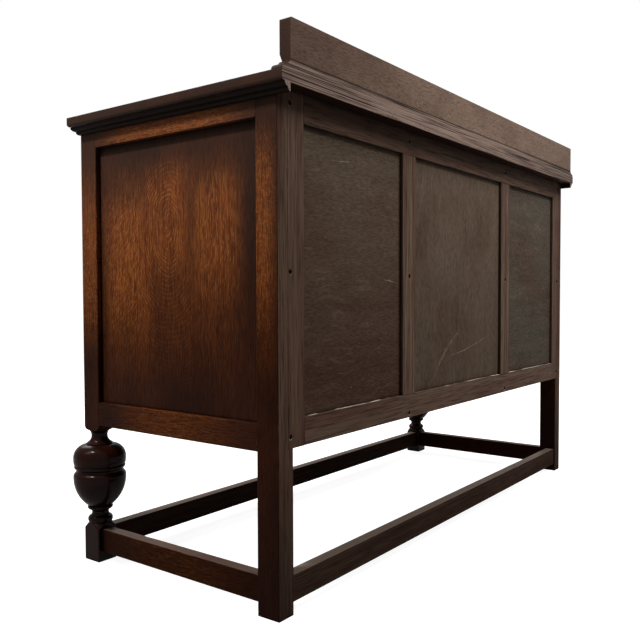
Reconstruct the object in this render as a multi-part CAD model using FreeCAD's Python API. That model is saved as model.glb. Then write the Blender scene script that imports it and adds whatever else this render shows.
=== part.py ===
"""Oak sideboard in the Jacobean revival style, on turned cup-and-cover legs.

A framed and panelled carcase has three bays: three drawers in the middle and a cupboard on each side.
It stands on Z = 0 with its front towards -Y. Left and right are as seen from the front.
Sizes are in millimetres.
"""
import FreeCAD, Part
import math
import os

from FreeCAD import Vector

os.makedirs("parts", exist_ok=True)

X = Vector(1, 0, 0)
Y = Vector(0, 1, 0)
Z = Vector(0, 0, 1)

# Top and overall sizes
top_length = 1372.0
top_height = 880.0
top_thickness = 19.0
top_end_overhang = 21.0
top_front_overhang = 15.0
top_back_overhang = 28.0
top_under_round = 4.4
top_upper_round = 1.5
carcase_depth = 507.0
carcase_bottom = 273.0

# Moulding under the edge of the top, seen in section
moulding_height = 25.0
moulding_projection = 14.0
moulding_lip = 4.0
moulding_hollow = 8.0
moulding_fillet = 3.0
moulding_step = 1.0
moulding_foot = 0.6

# Gallery at the back of the top
gallery_strip_height = 15.5
gallery_strip_projection = 21.0
gallery_strip_edge = 5.5
gallery_board_height = 67.0
gallery_board_thickness = 22.0
gallery_board_round = 3.0
gallery_slope_depth = 5.0
gallery_slope_height = 12.0

# Legs and end frames
post_thickness = 38.0
post_width = 46.0
end_rail_thickness = 25.0
bottom_rail_height = 46.0
top_rail_height = 43.0
end_panel_thickness = 8.0
end_panel_recess = 11.0
foot_block = 44.0
foot_block_height = 76.0

# Turned part of a front leg as drawn: radius, and height above the foot block
turning_drawn = 185.0
shoulder = (20.0, 185.0)
neck_top = (14.0, 176.0)
neck_foot = (14.0, 167.0)
neck_flare = (24.2, 160.0)
collar_side = (25.4, 158.3)
collar_foot = (24.2, 156.6)
cover_top = (27.0, 156.6)
cover_belly = (52.4, 125.0)
cover_rim = (50.4, 117.4)
cover_notch = (48.8, 115.8)
bead_side = (50.4, 111.8)
groove_floor = (46.4, 106.4)
cup_lip = (48.4, 100.4)
cup_belly = (52.4, 92.0)
cup_foot = (23.0, 33.5)
lower_collar_side = (24.3, 29.6)
lower_neck_top = (21.5, 26.0)
lower_neck_waist = (16.2, 19.0)
lower_neck_foot = (21.5, 12.0)
foot_ring_side = (24.2, 6.5)
foot_ring_foot = (21.5, 0.0)
shoulder_rise = 12.0
round_steps = 6

# Stretchers
stretcher_bottom = 19.5
stretcher_height = 45.0
stretcher_thickness = 24.0
rear_stretcher_inset = 3.0
stretcher_tenon = 13.0

# Back frame, let into a rebate of the rear legs
back_thickness = 19.0
back_bottom = 278.0
back_margin = 25.5
back_stile_width = 44.0
back_rail_height = 48.0
muntin_width = 52.0
back_panel_thickness = 5.0
back_panel_recess = 7.0

# Screws of the back frame
screw_head_radius = 4.0
screw_shank_radius = 2.0
screw_head_height = 2.2
screw_length = 38.0
screw_sides = 6
screw_sunk = 2.5
screw_top_drop = 21.0
screw_middle_height = 568.0
screw_stile_rise = 20.0
screw_muntin_rise = 10.0

# Inside of the carcase
front_rail_thickness = 22.0
partition_thickness = 20.0
bay_half = 246.0
floor_thickness = 12.0
batten = 15.0
cross_bearer = 22.0
shelf_thickness = 15.0
shelf_height = 560.0
shelf_setback = 0.5
shelf_bearer_height = 20.0
drawer_rail_height = 18.0
drawer_rail_depth = 40.0
drawer_rail_tenon = 8.0
runner_width = 20.0

# Drawers
top_drawer_opening = 135.0
middle_drawer_opening = 155.0
drawer_gap = 1.5
drawer_back_room = 18.0
drawer_front_thickness = 20.0
drawer_side_thickness = 10.0
drawer_bottom_thickness = 5.0
drawer_bottom_rise = 8.0
drawer_bottom_tongue = 5.0
drawer_side_drop = 8.0
drawer_back_inset = 12.0
run_gap = 0.3
dovetail_length = 14.0
dovetail_count = 3
dovetail_slope = 1 / 7

# Doors
door_gap = 1.5
door_thickness = 20.0
door_member = 50.0
door_panel_thickness = 8.0
door_panel_recess = 7.0

# Butt hinges
hinge_height = 50.0
hinge_inset = 70.0
hinge_leaf_width = 14.0
hinge_leaf = 1.5
hinge_pin_reach = 4.0
hinge_knuckle_radius = 3.5
hinge_pin_radius = 1.5
hinge_play = 0.1
knuckle_gap = 0.4

# Drop handles
handle_height = 612.0
plate_width = 34.0
plate_height = 46.0
plate_thickness = 2.5
pin_reach = 10.0
pin_radius = 1.5
ear_thickness = 2.5
ear_half = 3.0
handle_play = 0.3
drop_head = 9.0
drop_waist = 3.0
drop_belly_radius = 10.0
drop_length = 44.0
drop_thickness = 6.0
drop_bowl_steps = 6

# Door locks
lock_height = 548.0
lock_case_width = 30.0
lock_case_height = 40.0
lock_case_thickness = 10.0
lock_bolt_length = 20.0
lock_bolt_height = 14.0
lock_bolt_thickness = 5.0
lock_bolt_throw = 7.0
lock_play = 0.3
key_plate_width = 22.0
key_plate_height = 34.0
key_plate_thickness = 1.2
keyhole_radius = 2.2
keyhole_slot = 2.0
keyhole_drop = 6.0

# Joints between pieces of wood
arris = 0.8
tenon_thickness = 10.0
rail_tenon = 24.0
front_tenon = 18.0
tenon_margin = 6.0
frame_tenon = 30.0
back_tenon = 20.0
panel_tongue = 7.0
groove_depth = 8.0
joint_room = 0.2
rod_sides = 8

# Places worked out from the sizes above
end_x = top_length / 2 - top_end_overhang
inner_x = end_x - post_thickness
top_under = top_height - top_thickness
front_reach = max(top_front_overhang, pin_reach + drop_thickness / 2, cover_belly[0] - post_width / 2)
front_y = front_reach - (front_reach + carcase_depth + top_back_overhang) / 2
back_y = front_y + carcase_depth
top_back_y = back_y + top_back_overhang
post_back_y = front_y + post_width
leg_front_y = back_y - post_width
back_inner_y = back_y - back_thickness
axis_x = end_x - post_thickness / 2
axis_y = front_y + post_width / 2
opening_bottom = carcase_bottom + bottom_rail_height
opening_top = top_under - top_rail_height
stretcher_top = stretcher_bottom + stretcher_height
bay_inner = bay_half - partition_thickness / 2
bay_outer = bay_half + partition_thickness / 2
shoulder_z = carcase_bottom - shoulder_rise


def board(x0, x1, y0, y1, z0, z1):
    """A square-edged piece between two corners."""
    return Part.makeBox(x1 - x0, y1 - y0, z1 - z0, Vector(x0, y0, z0))


def grown(box, room_x, room_y, room_z):
    """The box with room added on both sides along each axis."""
    x0, x1, y0, y1, z0, z1 = box
    return (x0 - room_x, x1 + room_x, y0 - room_y, y1 + room_y, z0 - room_z, z1 + room_z)


def mortise(tenon):
    """The hole that takes a tenon."""
    return board(*grown(tenon, joint_room, joint_room, joint_room))


def panel_groove(panel, thin_axis):
    """The groove that takes a panel's edges: a close fit on its faces, with room at its edges."""
    slack = groove_depth - panel_tongue
    room = [joint_room if axis == thin_axis else slack for axis in "XYZ"]
    return board(*grown(panel, *room))


def runs_along(edge, axis):
    """True for a straight edge parallel to an axis."""
    start = edge.Vertexes[0].Point
    finish = edge.Vertexes[-1].Point
    way = finish - start
    return way.Length > 0 and abs(way.dot(axis)) > 0.999 * way.Length


def eased(piece, axis):
    """A board with the sharp arrises taken off along its length."""
    return piece.makeChamfer(arris, [edge for edge in piece.Edges if runs_along(edge, axis)])


def joined(*pieces):
    """Several shapes as one solid."""
    return pieces[0].fuse(list(pieces[1:])).removeSplitter().Solids[0]


def cut(piece, *tools):
    """A piece with every tool taken away, as one solid."""
    return piece.cut(list(tools)).removeSplitter().Solids[0]


def mirrored(piece):
    """The same piece on the other side of the middle."""
    return piece.mirror(Vector(0, 0, 0), X)


def save(name, *solids):
    """Writes one named piece, or one named group of like pieces."""
    shape = solids[0] if len(solids) == 1 else Part.makeCompound(list(solids))
    shape.exportStep(f"parts/{name}.step")


def save_pair(name, piece):
    """Writes a piece of the right side and its mirror on the left."""
    save(f"{name}_right", piece)
    save(f"{name}_left", mirrored(piece))


def between(wire, wire_end):
    """A solid ruled from one section to the other."""
    return Part.makeLoft([wire, wire_end], True, True)


def section_wire(outline, place):
    """A closed wire from runs of two points, straight, or three, an arc, each put in space by place."""
    edges = []
    for points in outline:
        spots = [place(*point) for point in points]
        if len(spots) == 3:
            edges.append(Part.Arc(*spots).toShape())
        else:
            edges.append(Part.makeLine(*spots))
    return Part.Wire(edges)


def flat_sided(radius, centre, way, sides):
    """Corners of a regular outline round an axis, for rods and rounds too small to show their flats."""
    across = Z if abs(way.dot(Z)) < 0.5 * way.Length else X
    turns = [FreeCAD.Rotation(way, 360 * (side + 0.5) / sides) for side in range(sides)]
    return [centre + turn.multVec(across * radius) for turn in turns]


def rod(radius, start, finish, sides=rod_sides):
    """A thin metal rod or hole."""
    corners = flat_sided(radius, start, finish - start, sides)
    face = Part.Face(Part.makePolygon(corners + corners[:1]))
    return face.extrude(finish - start)


def rod_hole(radius, start, finish):
    """A hole in which a rod of this radius can turn."""
    return rod(radius / math.cos(math.pi / rod_sides), start, finish)


# Tenons of the rails, as boxes that the rails carry and the posts are cut for
rail_mid_x = end_x - end_rail_thickness / 2
front_rail_mid_y = front_y + front_rail_thickness / 2
rear_stretcher_y = back_y - rear_stretcher_inset - stretcher_thickness / 2


def tenon_heights(low, high, groove_low, groove_high):
    """Height of a tenon between a rail's edges, clear of any panel groove."""
    return (low + tenon_margin + groove_low, high - tenon_margin - groove_high)


def end_tenons(heights):
    """The two tenons of an end rail, in the front and the rear post."""
    x0 = rail_mid_x - tenon_thickness / 2
    x1 = rail_mid_x + tenon_thickness / 2
    front = (x0, x1, post_back_y - rail_tenon, post_back_y, *heights)
    rear = (x0, x1, leg_front_y, leg_front_y + rail_tenon, *heights)
    return front, rear


def front_tenon_box(heights):
    """The right-hand tenon of a front rail."""
    y0 = front_rail_mid_y - tenon_thickness / 2
    return (inner_x, inner_x + front_tenon, y0, y0 + tenon_thickness, *heights)


bottom_tenon_heights = tenon_heights(carcase_bottom, opening_bottom, 0, groove_depth)
top_tenon_heights = tenon_heights(opening_top, top_under, groove_depth, 0)
bottom_end_tenons = end_tenons(bottom_tenon_heights)
top_end_tenons = end_tenons(top_tenon_heights)
bottom_front_tenon = front_tenon_box(bottom_tenon_heights)
top_front_tenon = front_tenon_box(top_tenon_heights)

stretcher_heights = (stretcher_bottom + tenon_margin, stretcher_top - tenon_margin)
block_back_y = axis_y + foot_block / 2
block_inner_x = axis_x - foot_block / 2
half_tenon = tenon_thickness / 2
end_stretcher_front = (axis_x - half_tenon, axis_x + half_tenon,
                       block_back_y - stretcher_tenon, block_back_y, *stretcher_heights)
end_stretcher_rear = (axis_x - half_tenon, axis_x + half_tenon,
                      leg_front_y, leg_front_y + stretcher_tenon, *stretcher_heights)
front_stretcher_tenon = (block_inner_x, block_inner_x + stretcher_tenon,
                         axis_y - half_tenon, axis_y + half_tenon, *stretcher_heights)
rear_stretcher_tenon = (inner_x, inner_x + stretcher_tenon,
                        rear_stretcher_y - half_tenon, rear_stretcher_y + half_tenon, *stretcher_heights)

end_panel = (end_x - end_panel_recess - end_panel_thickness, end_x - end_panel_recess,
             post_back_y - panel_tongue, leg_front_y + panel_tongue,
             opening_bottom - panel_tongue, opening_top + panel_tongue)

# Screws of the back: places on the rear face, right half
stile_screw_x = (inner_x + end_x - back_margin) / 2
screw_top_z = top_under - screw_top_drop
stile_screw_heights = (screw_top_z, screw_middle_height, back_bottom + screw_stile_rise)
bay_screw_heights = (screw_top_z, screw_middle_height, back_bottom + screw_muntin_rise)
screw_places = [(stile_screw_x, z) for z in stile_screw_heights] + [(bay_half, z) for z in bay_screw_heights]


def screw(x, z):
    """A wood screw driven in from behind, with its head sunk below the face."""
    sunk = Vector(x, back_y - screw_sunk, z)
    neck = sunk - Y * screw_head_height
    head = rod(screw_head_radius, neck, sunk, screw_sides)
    return joined(head, rod(screw_shank_radius, sunk - Y * screw_length, neck, screw_sides))


def screw_sinking(x, z):
    """The hole that a screw's head lies in."""
    floor_y = back_y - screw_sunk - screw_head_height
    return rod(screw_head_radius + joint_room, Vector(x, floor_y, z), Vector(x, back_y + 1, z), screw_sides)


right_sinkings = [screw_sinking(x, z) for x, z in screw_places]
sinkings = right_sinkings + [mirrored(hole) for hole in right_sinkings]


def turned_height(height):
    """Height over the floor of a member of the turning, stretched to the room it has."""
    return foot_block_height + height * (shoulder_z - foot_block_height) / turning_drawn


def turned_point(member):
    radius, height = member
    return Vector(radius, 0, turned_height(height))


def swell(crest, finish, steps):
    """Points of an arc that runs upright at its crest, the thickest place, and ends at finish."""
    start = turned_point(crest)
    end = turned_point(finish)
    reach = start.x - end.x
    rise = end.z - start.z
    radius = (reach ** 2 + rise ** 2) / (2 * reach)
    turn = math.asin(rise / radius)
    angles = [turn * step / steps for step in range(steps + 1)]
    return [Vector(start.x - radius * (1 - math.cos(angle)), 0, start.z + radius * math.sin(angle))
            for angle in angles]


def leg_turning():
    """Neck, collar, cover, cup, lower collar, lower neck and ring of a front leg."""
    above = (shoulder, neck_top, neck_foot, neck_flare, collar_side, collar_foot)
    between_rounds = (cover_rim, cover_notch, bead_side, groove_floor, cup_lip)
    below = (lower_collar_side, lower_neck_top, lower_neck_waist, lower_neck_foot,
             foot_ring_side, foot_ring_foot)
    outline = [turned_point((0.0, shoulder[1]))]
    outline += [turned_point(member) for member in above]
    outline += swell(cover_belly, cover_top, round_steps)[::-1]
    outline += [turned_point(member) for member in between_rounds]
    outline += swell(cup_belly, cup_foot, round_steps)
    outline += [turned_point(member) for member in below]
    outline += [turned_point((0.0, 0.0))]
    face = Part.Face(Part.makePolygon(outline + outline[:1]))
    return face.revolve(Vector(0, 0, 0), Z, 360)


def shoulder_bell(radius, meeting_z, full_z, far_z, half_diagonal):
    """Eight-sided solid that slopes off the corners of a square where it meets the turning."""
    rings = [(radius, meeting_z), (half_diagonal, full_z), (half_diagonal, far_z)]
    wires = []
    for flat, z in rings:
        corners = flat_sided(flat / math.cos(math.pi / 8), Vector(0, 0, z), Z, 8)
        wires.append(Part.makePolygon(corners + corners[:1]))
    return joined(between(wires[0], wires[1]), between(wires[1], wires[2]))


def front_leg():
    """Post, turning and foot block of the right front leg in one length."""
    half_x = post_thickness / 2
    half_y = post_width / 2
    half_block = foot_block / 2
    post = eased(board(-half_x, half_x, -half_y, half_y, shoulder_z, top_under), Z)
    bell = shoulder_bell(shoulder[0], shoulder_z, carcase_bottom, top_under, math.hypot(half_x, half_y))
    block = eased(board(-half_block, half_block, -half_block, half_block, 0, foot_block_height), Z)
    foot_bell = shoulder_bell(foot_ring_foot[0], foot_block_height, foot_block_height - shoulder_rise, 0,
                              math.hypot(half_block, half_block))
    leg = joined(post.common(bell), leg_turning(), block.common(foot_bell))
    leg = leg.translated(Vector(axis_x, axis_y, 0))
    housings = [mortise(tenon) for tenon in (bottom_end_tenons[0], top_end_tenons[0], bottom_front_tenon,
                                              top_front_tenon, end_stretcher_front, front_stretcher_tenon)]
    return cut(leg, panel_groove(end_panel, "X"), *housings, *hinge_recesses())


def rear_leg():
    """Right rear leg, rebated for the back frame from its foot up to the top."""
    leg = eased(board(inner_x, end_x, leg_front_y, back_y, 0, top_under), Z)
    rebate = board(inner_x - 1, end_x - back_margin, back_inner_y, back_y + 1, back_bottom, top_under + 1)
    housings = [mortise(tenon) for tenon in (bottom_end_tenons[1], top_end_tenons[1],
                                              end_stretcher_rear, rear_stretcher_tenon)]
    return cut(leg, rebate, panel_groove(end_panel, "X"), *housings)


def end_rail(low, high, tenons):
    """A rail of the right end frame with a tenon at each end and the groove for the panel."""
    rail = eased(board(end_x - end_rail_thickness, end_x, post_back_y, leg_front_y, low, high), Y)
    return cut(joined(rail, *[board(*tenon) for tenon in tenons]), panel_groove(end_panel, "X"))


def front_rail(low, high, tenon):
    """A rail across the front, with a tenon at each end."""
    rail = eased(board(-inner_x, inner_x, front_y, front_y + front_rail_thickness, low, high), X)
    right = board(*tenon)
    return joined(rail, right, mirrored(right))


def end_stretcher():
    half = stretcher_thickness / 2
    bar = board(axis_x - half, axis_x + half, block_back_y, leg_front_y, stretcher_bottom, stretcher_top)
    return joined(eased(bar, Y), board(*end_stretcher_front), board(*end_stretcher_rear))


def long_stretcher(mid_y, reach, tenon):
    half = stretcher_thickness / 2
    bar = eased(board(-reach, reach, mid_y - half, mid_y + half, stretcher_bottom, stretcher_top), X)
    right = board(*tenon)
    return joined(bar, right, mirrored(right))


def make_legs_and_ends():
    save_pair("front_leg", front_leg())
    save_pair("rear_leg", rear_leg())
    save_pair("end_bottom_rail", end_rail(carcase_bottom, opening_bottom, bottom_end_tenons))
    save_pair("end_top_rail", end_rail(opening_top, top_under, top_end_tenons))
    save_pair("end_panel", board(*end_panel))
    save_pair("end_stretcher", end_stretcher())
    save("front_stretcher", long_stretcher(axis_y, block_inner_x, front_stretcher_tenon))
    save("rear_stretcher", long_stretcher(rear_stretcher_y, inner_x, rear_stretcher_tenon))
    save("front_bottom_rail", front_rail(carcase_bottom, opening_bottom, bottom_front_tenon))
    save("front_top_rail", front_rail(opening_top, top_under, top_front_tenon))


def moulding_outline():
    """Section of the edge moulding: distance out from the carcase, and height below the top."""
    lip_x = moulding_projection
    hollow_x = lip_x - moulding_hollow
    hollow_z = moulding_lip + moulding_hollow
    fillet_z = hollow_z + moulding_fillet
    step_x = hollow_x - moulding_step
    bend = moulding_hollow * (1 - math.sqrt(0.5))
    round_x = step_x - (step_x - moulding_foot) * (1 - math.sqrt(0.5))
    round_z = fillet_z + (moulding_height - fillet_z) * math.sqrt(0.5)
    return [((0, 0), (lip_x, 0)),
            ((lip_x, 0), (lip_x, -moulding_lip)),
            ((lip_x, -moulding_lip), (hollow_x + bend, -moulding_lip - bend), (hollow_x, -hollow_z)),
            ((hollow_x, -hollow_z), (hollow_x, -fillet_z)),
            ((hollow_x, -fillet_z), (step_x, -fillet_z)),
            ((step_x, -fillet_z), (round_x, -round_z), (moulding_foot, -moulding_height)),
            ((moulding_foot, -moulding_height), (0, -moulding_height)),
            ((0, -moulding_height), (0, 0))]


def edge_mouldings():
    """Front length and two end lengths, mitred at the front corners."""
    outline = moulding_outline()

    def mitre(side):
        place = lambda out, up: Vector(side * (end_x + out), front_y - out, top_under + up)
        return section_wire(outline, place)

    rear = section_wire(outline, lambda out, up: Vector(end_x + out, top_back_y, top_under + up))
    right = between(mitre(1), rear)
    return between(mitre(-1), mitre(1)), right, mirrored(right)


def top_board():
    """The top, rounded under at the front and ends; its rear edge is left square from the saw."""
    half = top_length / 2
    front = front_y - top_front_overhang
    plank = board(-half, half, front, top_back_y, top_under, top_height)

    def shown_edges(z):
        flat = [edge for edge in plank.Edges if abs(edge.CenterOfMass.z - z) < 1e-6]
        return [edge for edge in flat if edge.CenterOfMass.y < top_back_y - 1e-6]

    plank = plank.makeFillet(top_under_round, shown_edges(top_under))
    return plank.makeFillet(top_upper_round, shown_edges(top_height))


def gallery_strip():
    """The strip that carries the gallery board, flush with it in front and hollowed at both ends."""
    reach = gallery_strip_projection
    low = gallery_strip_edge
    high = gallery_strip_height
    hollow = (reach * 0.4, low + (high - low) * 0.3)
    outline = [((0, 0), (reach, 0)), ((reach, 0), (reach, low)), ((reach, low), hollow, (0, high)),
               ((0, high), (0, 0))]
    side_x = top_length / 2 - reach
    board_y = top_back_y - gallery_board_thickness

    def end_section(y):
        return section_wire(outline, lambda out, up: Vector(side_x + out, y, top_height + up))

    right = between(end_section(board_y), end_section(top_back_y))
    core = board(-side_x, side_x, board_y, top_back_y, top_height, top_height + high)
    return joined(core, right, mirrored(right))


def gallery_board():
    """Upright board with its two upper corners rounded and its lower front edge sloped back."""
    side_x = top_length / 2 - gallery_strip_projection
    low = top_height + gallery_strip_height
    high = low + gallery_board_height
    front = top_back_y - gallery_board_thickness
    outline = [(front + gallery_slope_depth, low), (front, low + gallery_slope_height), (front, high),
               (top_back_y, high), (top_back_y, low)]
    corners = [Vector(-side_x, y, z) for y, z in outline]
    plank = Part.Face(Part.makePolygon(corners + corners[:1])).extrude(X * 2 * side_x)
    upper = [edge for edge in plank.Edges if runs_along(edge, Y) and edge.CenterOfMass.z > high - 1]
    return plank.makeFillet(gallery_board_round, upper)


def make_top():
    save("top_board", top_board())
    save("top_moulding", *edge_mouldings())
    save("gallery_strip", gallery_strip())
    save("gallery_board", gallery_board())


def back_panel_box(x0, x1):
    face_y = back_y - back_panel_recess
    return (x0 - panel_tongue, x1 + panel_tongue, face_y - back_panel_thickness, face_y,
            back_bottom + back_rail_height - panel_tongue, top_under - back_rail_height + panel_tongue)


def make_back():
    """Frame of stiles, rails and muntins round three panels, screwed to the legs and partitions."""
    stile_x1 = end_x - back_margin
    stile_x0 = stile_x1 - back_stile_width
    muntin_x0 = bay_half - muntin_width / 2
    muntin_x1 = bay_half + muntin_width / 2
    low = back_bottom + back_rail_height
    high = top_under - back_rail_height
    mid_y = back_y - back_panel_recess - back_panel_thickness / 2
    tenon_y = (mid_y - back_panel_thickness / 2, mid_y + back_panel_thickness / 2)

    side_panel = back_panel_box(muntin_x1, stile_x0)
    centre_panel = back_panel_box(-muntin_x0, muntin_x0)
    panels = [board(*side_panel), board(*centre_panel), mirrored(board(*side_panel))]
    groove = panel_groove(side_panel, "Y")
    grooves = [groove, panel_groove(centre_panel, "Y"), mirrored(groove)]

    low_tenon = (stile_x0, stile_x0 + back_tenon, *tenon_y, back_bottom + tenon_margin, low - groove_depth)
    high_tenon = (stile_x0, stile_x0 + back_tenon, *tenon_y, high + groove_depth, top_under - tenon_margin)
    muntin_ends = [(muntin_x0 + groove_depth, muntin_x1 - groove_depth, *tenon_y, low - back_tenon, low),
                   (muntin_x0 + groove_depth, muntin_x1 - groove_depth, *tenon_y, high, high + back_tenon)]

    stile = eased(board(stile_x0, stile_x1, back_inner_y, back_y, back_bottom, top_under), Z)
    stile = cut(stile, groove, mortise(low_tenon), mortise(high_tenon), *sinkings)
    muntin = eased(board(muntin_x0, muntin_x1, back_inner_y, back_y, low, high), Z)
    muntin = joined(muntin, *[board(*end) for end in muntin_ends])
    muntin = cut(muntin, *grooves, *sinkings)

    def rail(z0, z1, tenon, muntin_end):
        bar = eased(board(-stile_x0, stile_x0, back_inner_y, back_y, z0, z1), X)
        right = board(*tenon)
        housing = mortise(muntin_end)
        return cut(joined(bar, right, mirrored(right)), *grooves, housing, mirrored(housing), *sinkings)

    save("back_stiles", stile, mirrored(stile))
    save("back_muntins", muntin, mirrored(muntin))
    save("back_bottom_rail", rail(back_bottom, low, low_tenon, muntin_ends[0]))
    save("back_top_rail", rail(high, top_under, high_tenon, muntin_ends[1]))
    save("back_panels", *panels)
    right_screws = [screw(x, z) for x, z in screw_places]
    save("back_screws", *right_screws, *[mirrored(driven) for driven in right_screws])


# Drawer openings from the bottom up: name, lower edge and upper edge
top_drawer_low = opening_top - top_drawer_opening
middle_drawer_high = top_drawer_low - drawer_rail_height
middle_drawer_low = middle_drawer_high - middle_drawer_opening
bottom_drawer_high = middle_drawer_low - drawer_rail_height
drawer_openings = {"bottom_drawer": (opening_bottom, bottom_drawer_high),
                   "middle_drawer": (middle_drawer_low, middle_drawer_high),
                   "top_drawer": (top_drawer_low, opening_top)}
drawer_rail_lows = (bottom_drawer_high, middle_drawer_high)


def drawer_rail_tenon_box(low):
    mid_z = low + drawer_rail_height / 2
    return (bay_inner, bay_inner + drawer_rail_tenon, front_y + tenon_margin,
            front_y + drawer_rail_depth - tenon_margin, mid_z - half_tenon, mid_z + half_tenon)


def lock_bolt_box():
    """The bolt of the right lock, drawn back until it is flush with the door's edge."""
    edge_x = bay_outer + door_gap
    mid_y = front_y + door_thickness - lock_case_thickness / 2
    half_y = lock_bolt_thickness / 2
    half_z = lock_bolt_height / 2
    return (edge_x, edge_x + lock_bolt_length, mid_y - half_y, mid_y + half_y,
            lock_height - half_z, lock_height + half_z)


def bolt_keep():
    """The hole in the partition that the thrown bolt enters."""
    x0, x1, y0, y1, z0, z1 = lock_bolt_box()
    thrown = (x0 - lock_bolt_throw, x1, y0, y1, z0, z1)
    return board(*grown(thrown, 1.0, lock_play, lock_play))


def partition():
    """Right partition, notched behind the front top rail, with its drawer rails and bolt hole let in."""
    sheet = board(bay_inner, bay_outer, front_y, back_inner_y, opening_bottom, top_under)
    notch = board(bay_inner - 1, bay_outer + 1, front_y - 1, front_y + front_rail_thickness,
                  opening_top, top_under + 1)
    housings = [mortise(drawer_rail_tenon_box(low)) for low in drawer_rail_lows]
    return cut(sheet, notch, bolt_keep(), *housings)


def carcase_floor():
    """Floor board from end to end, notched round the posts."""
    reach = end_x - end_rail_thickness
    low = opening_bottom - floor_thickness
    sheet = board(-reach, reach, front_y + front_rail_thickness, back_inner_y, low, opening_bottom)
    notch_x = inner_x - joint_room
    front_notch = board(notch_x, end_x, front_y, post_back_y + joint_room, low - 1, opening_bottom + 1)
    rear_notch = board(notch_x, end_x, leg_front_y - joint_room, back_y, low - 1, opening_bottom + 1)
    return cut(sheet, front_notch, rear_notch, mirrored(front_notch), mirrored(rear_notch))


def battens():
    """Floor battens, the cross bearers under the partitions and the bearers of the shelves."""
    under_floor = opening_bottom - floor_thickness
    rail_inner = end_x - end_rail_thickness
    rail_back = front_y + front_rail_thickness
    half = cross_bearer / 2
    bearer_low = shelf_height - shelf_bearer_height
    bearer_front = front_y + post_width / 2
    bearer_back = back_inner_y - 1
    batten_low = under_floor - batten
    end_batten = board(rail_inner - batten, rail_inner, post_back_y, leg_front_y, batten_low, under_floor)
    cross = board(bay_half - half, bay_half + half, rail_back, back_inner_y, carcase_bottom, under_floor)
    front_span = (rail_back, rail_back + batten, batten_low, under_floor)
    front_side = board(bay_half + half, rail_inner - batten, *front_span)
    front_side = cut(front_side, board(inner_x, end_x, front_y, post_back_y, 0, top_height))
    front_middle = board(half - bay_half, bay_half - half, *front_span)
    post_bearer = board(inner_x - batten, inner_x, bearer_front, bearer_back, bearer_low, shelf_height)
    bay_bearer = board(bay_outer, bay_outer + batten, bearer_front, bearer_back, bearer_low, shelf_height)
    right = [end_batten, cross, front_side, post_bearer, bay_bearer]
    return right + [mirrored(piece) for piece in right] + [front_middle]


def make_inside():
    save_pair("partition", partition())
    save("carcase_floor", carcase_floor())
    save("battens", *battens())
    shelf = board(bay_outer + shelf_setback, inner_x - shelf_setback,
                  front_y + door_thickness + shelf_setback, back_inner_y - shelf_setback,
                  shelf_height, shelf_height + shelf_thickness)
    save("shelves", shelf, mirrored(shelf))

    rails = []
    runners = []
    for low in drawer_rail_lows:
        high = low + drawer_rail_height
        rail_back = front_y + drawer_rail_depth
        rail = eased(board(-bay_inner, bay_inner, front_y, rail_back, low, high), X)
        tenon = board(*drawer_rail_tenon_box(low))
        rails.append(joined(rail, tenon, mirrored(tenon)))
        runner = board(bay_inner - runner_width, bay_inner, rail_back, back_inner_y, low, high)
        runners += [runner, mirrored(runner)]
    save("drawer_rails", *rails)
    save("drawer_runners", *runners)


def dovetails(low, high, x0, x1):
    """Tails at the front end of a drawer side: prisms that widen towards the drawer's face."""
    pitch = (high - low) / dovetail_count
    shoulder_y = front_y + drawer_front_thickness
    tip_y = shoulder_y - dovetail_length
    flare = dovetail_length * dovetail_slope
    half = pitch / 2 - 2 * flare
    tails = []
    for index in range(dovetail_count):
        mid = low + pitch * (index + 0.5)
        corners = [Vector(x0, shoulder_y, mid - half), Vector(x0, tip_y, mid - half - flare),
                   Vector(x0, tip_y, mid + half + flare), Vector(x0, shoulder_y, mid + half)]
        face = Part.Face(Part.makePolygon(corners + corners[:1]))
        tails.append(face.extrude(Vector(x1 - x0, 0, 0)))
    return tails


def make_drawer(name, low, high):
    """Front, dovetailed sides, back and bottom of a drawer, with its handle."""
    side_x1 = bay_inner - drawer_gap
    side_x0 = side_x1 - drawer_side_thickness
    front_back_y = front_y + drawer_front_thickness
    end_y = back_inner_y - drawer_back_room
    side_low = low + run_gap
    side_high = high - drawer_side_drop
    bottom_low = side_low + drawer_bottom_rise
    bottom_high = bottom_low + drawer_bottom_thickness

    bottom = (-side_x0 - drawer_bottom_tongue, side_x0 + drawer_bottom_tongue,
              front_back_y - drawer_bottom_tongue, end_y, bottom_low, bottom_high)
    bottom_groove = board(*grown(bottom, joint_room, joint_room, joint_room))
    tails = dovetails(side_low, side_high, side_x0, side_x1)
    side = joined(board(side_x0, side_x1, front_back_y, end_y, side_low, side_high), *tails)
    side = cut(side, bottom_groove)

    face = eased(board(-side_x1, side_x1, front_y, front_back_y, low + drawer_gap, high - drawer_gap), X)
    face = cut(face, *tails, *[mirrored(tail) for tail in tails], bottom_groove)
    back_y1 = end_y - drawer_back_inset
    back = board(-side_x0, side_x0, back_y1 - drawer_side_thickness, back_y1,
                 bottom_high + joint_room, side_high - drawer_gap)

    save(f"{name}_front", face)
    save(f"{name}_box", side, mirrored(side), back, board(*bottom))
    middle = (low + high) / 2 + drop_length / 3
    save(f"{name}_handle_plate", handle_plate(0, middle))
    save(f"{name}_drop", handle_drop(0, middle))


def lozenge(width, height, thickness, x, z):
    """A diamond-shaped plate on the face of a door or drawer."""
    corners = [Vector(x + width / 2, front_y, z), Vector(x, front_y, z + height / 2),
               Vector(x - width / 2, front_y, z), Vector(x, front_y, z - height / 2)]
    face = Part.Face(Part.makePolygon(corners + corners[:1]))
    return face.extrude(Vector(0, -thickness, 0))


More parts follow.
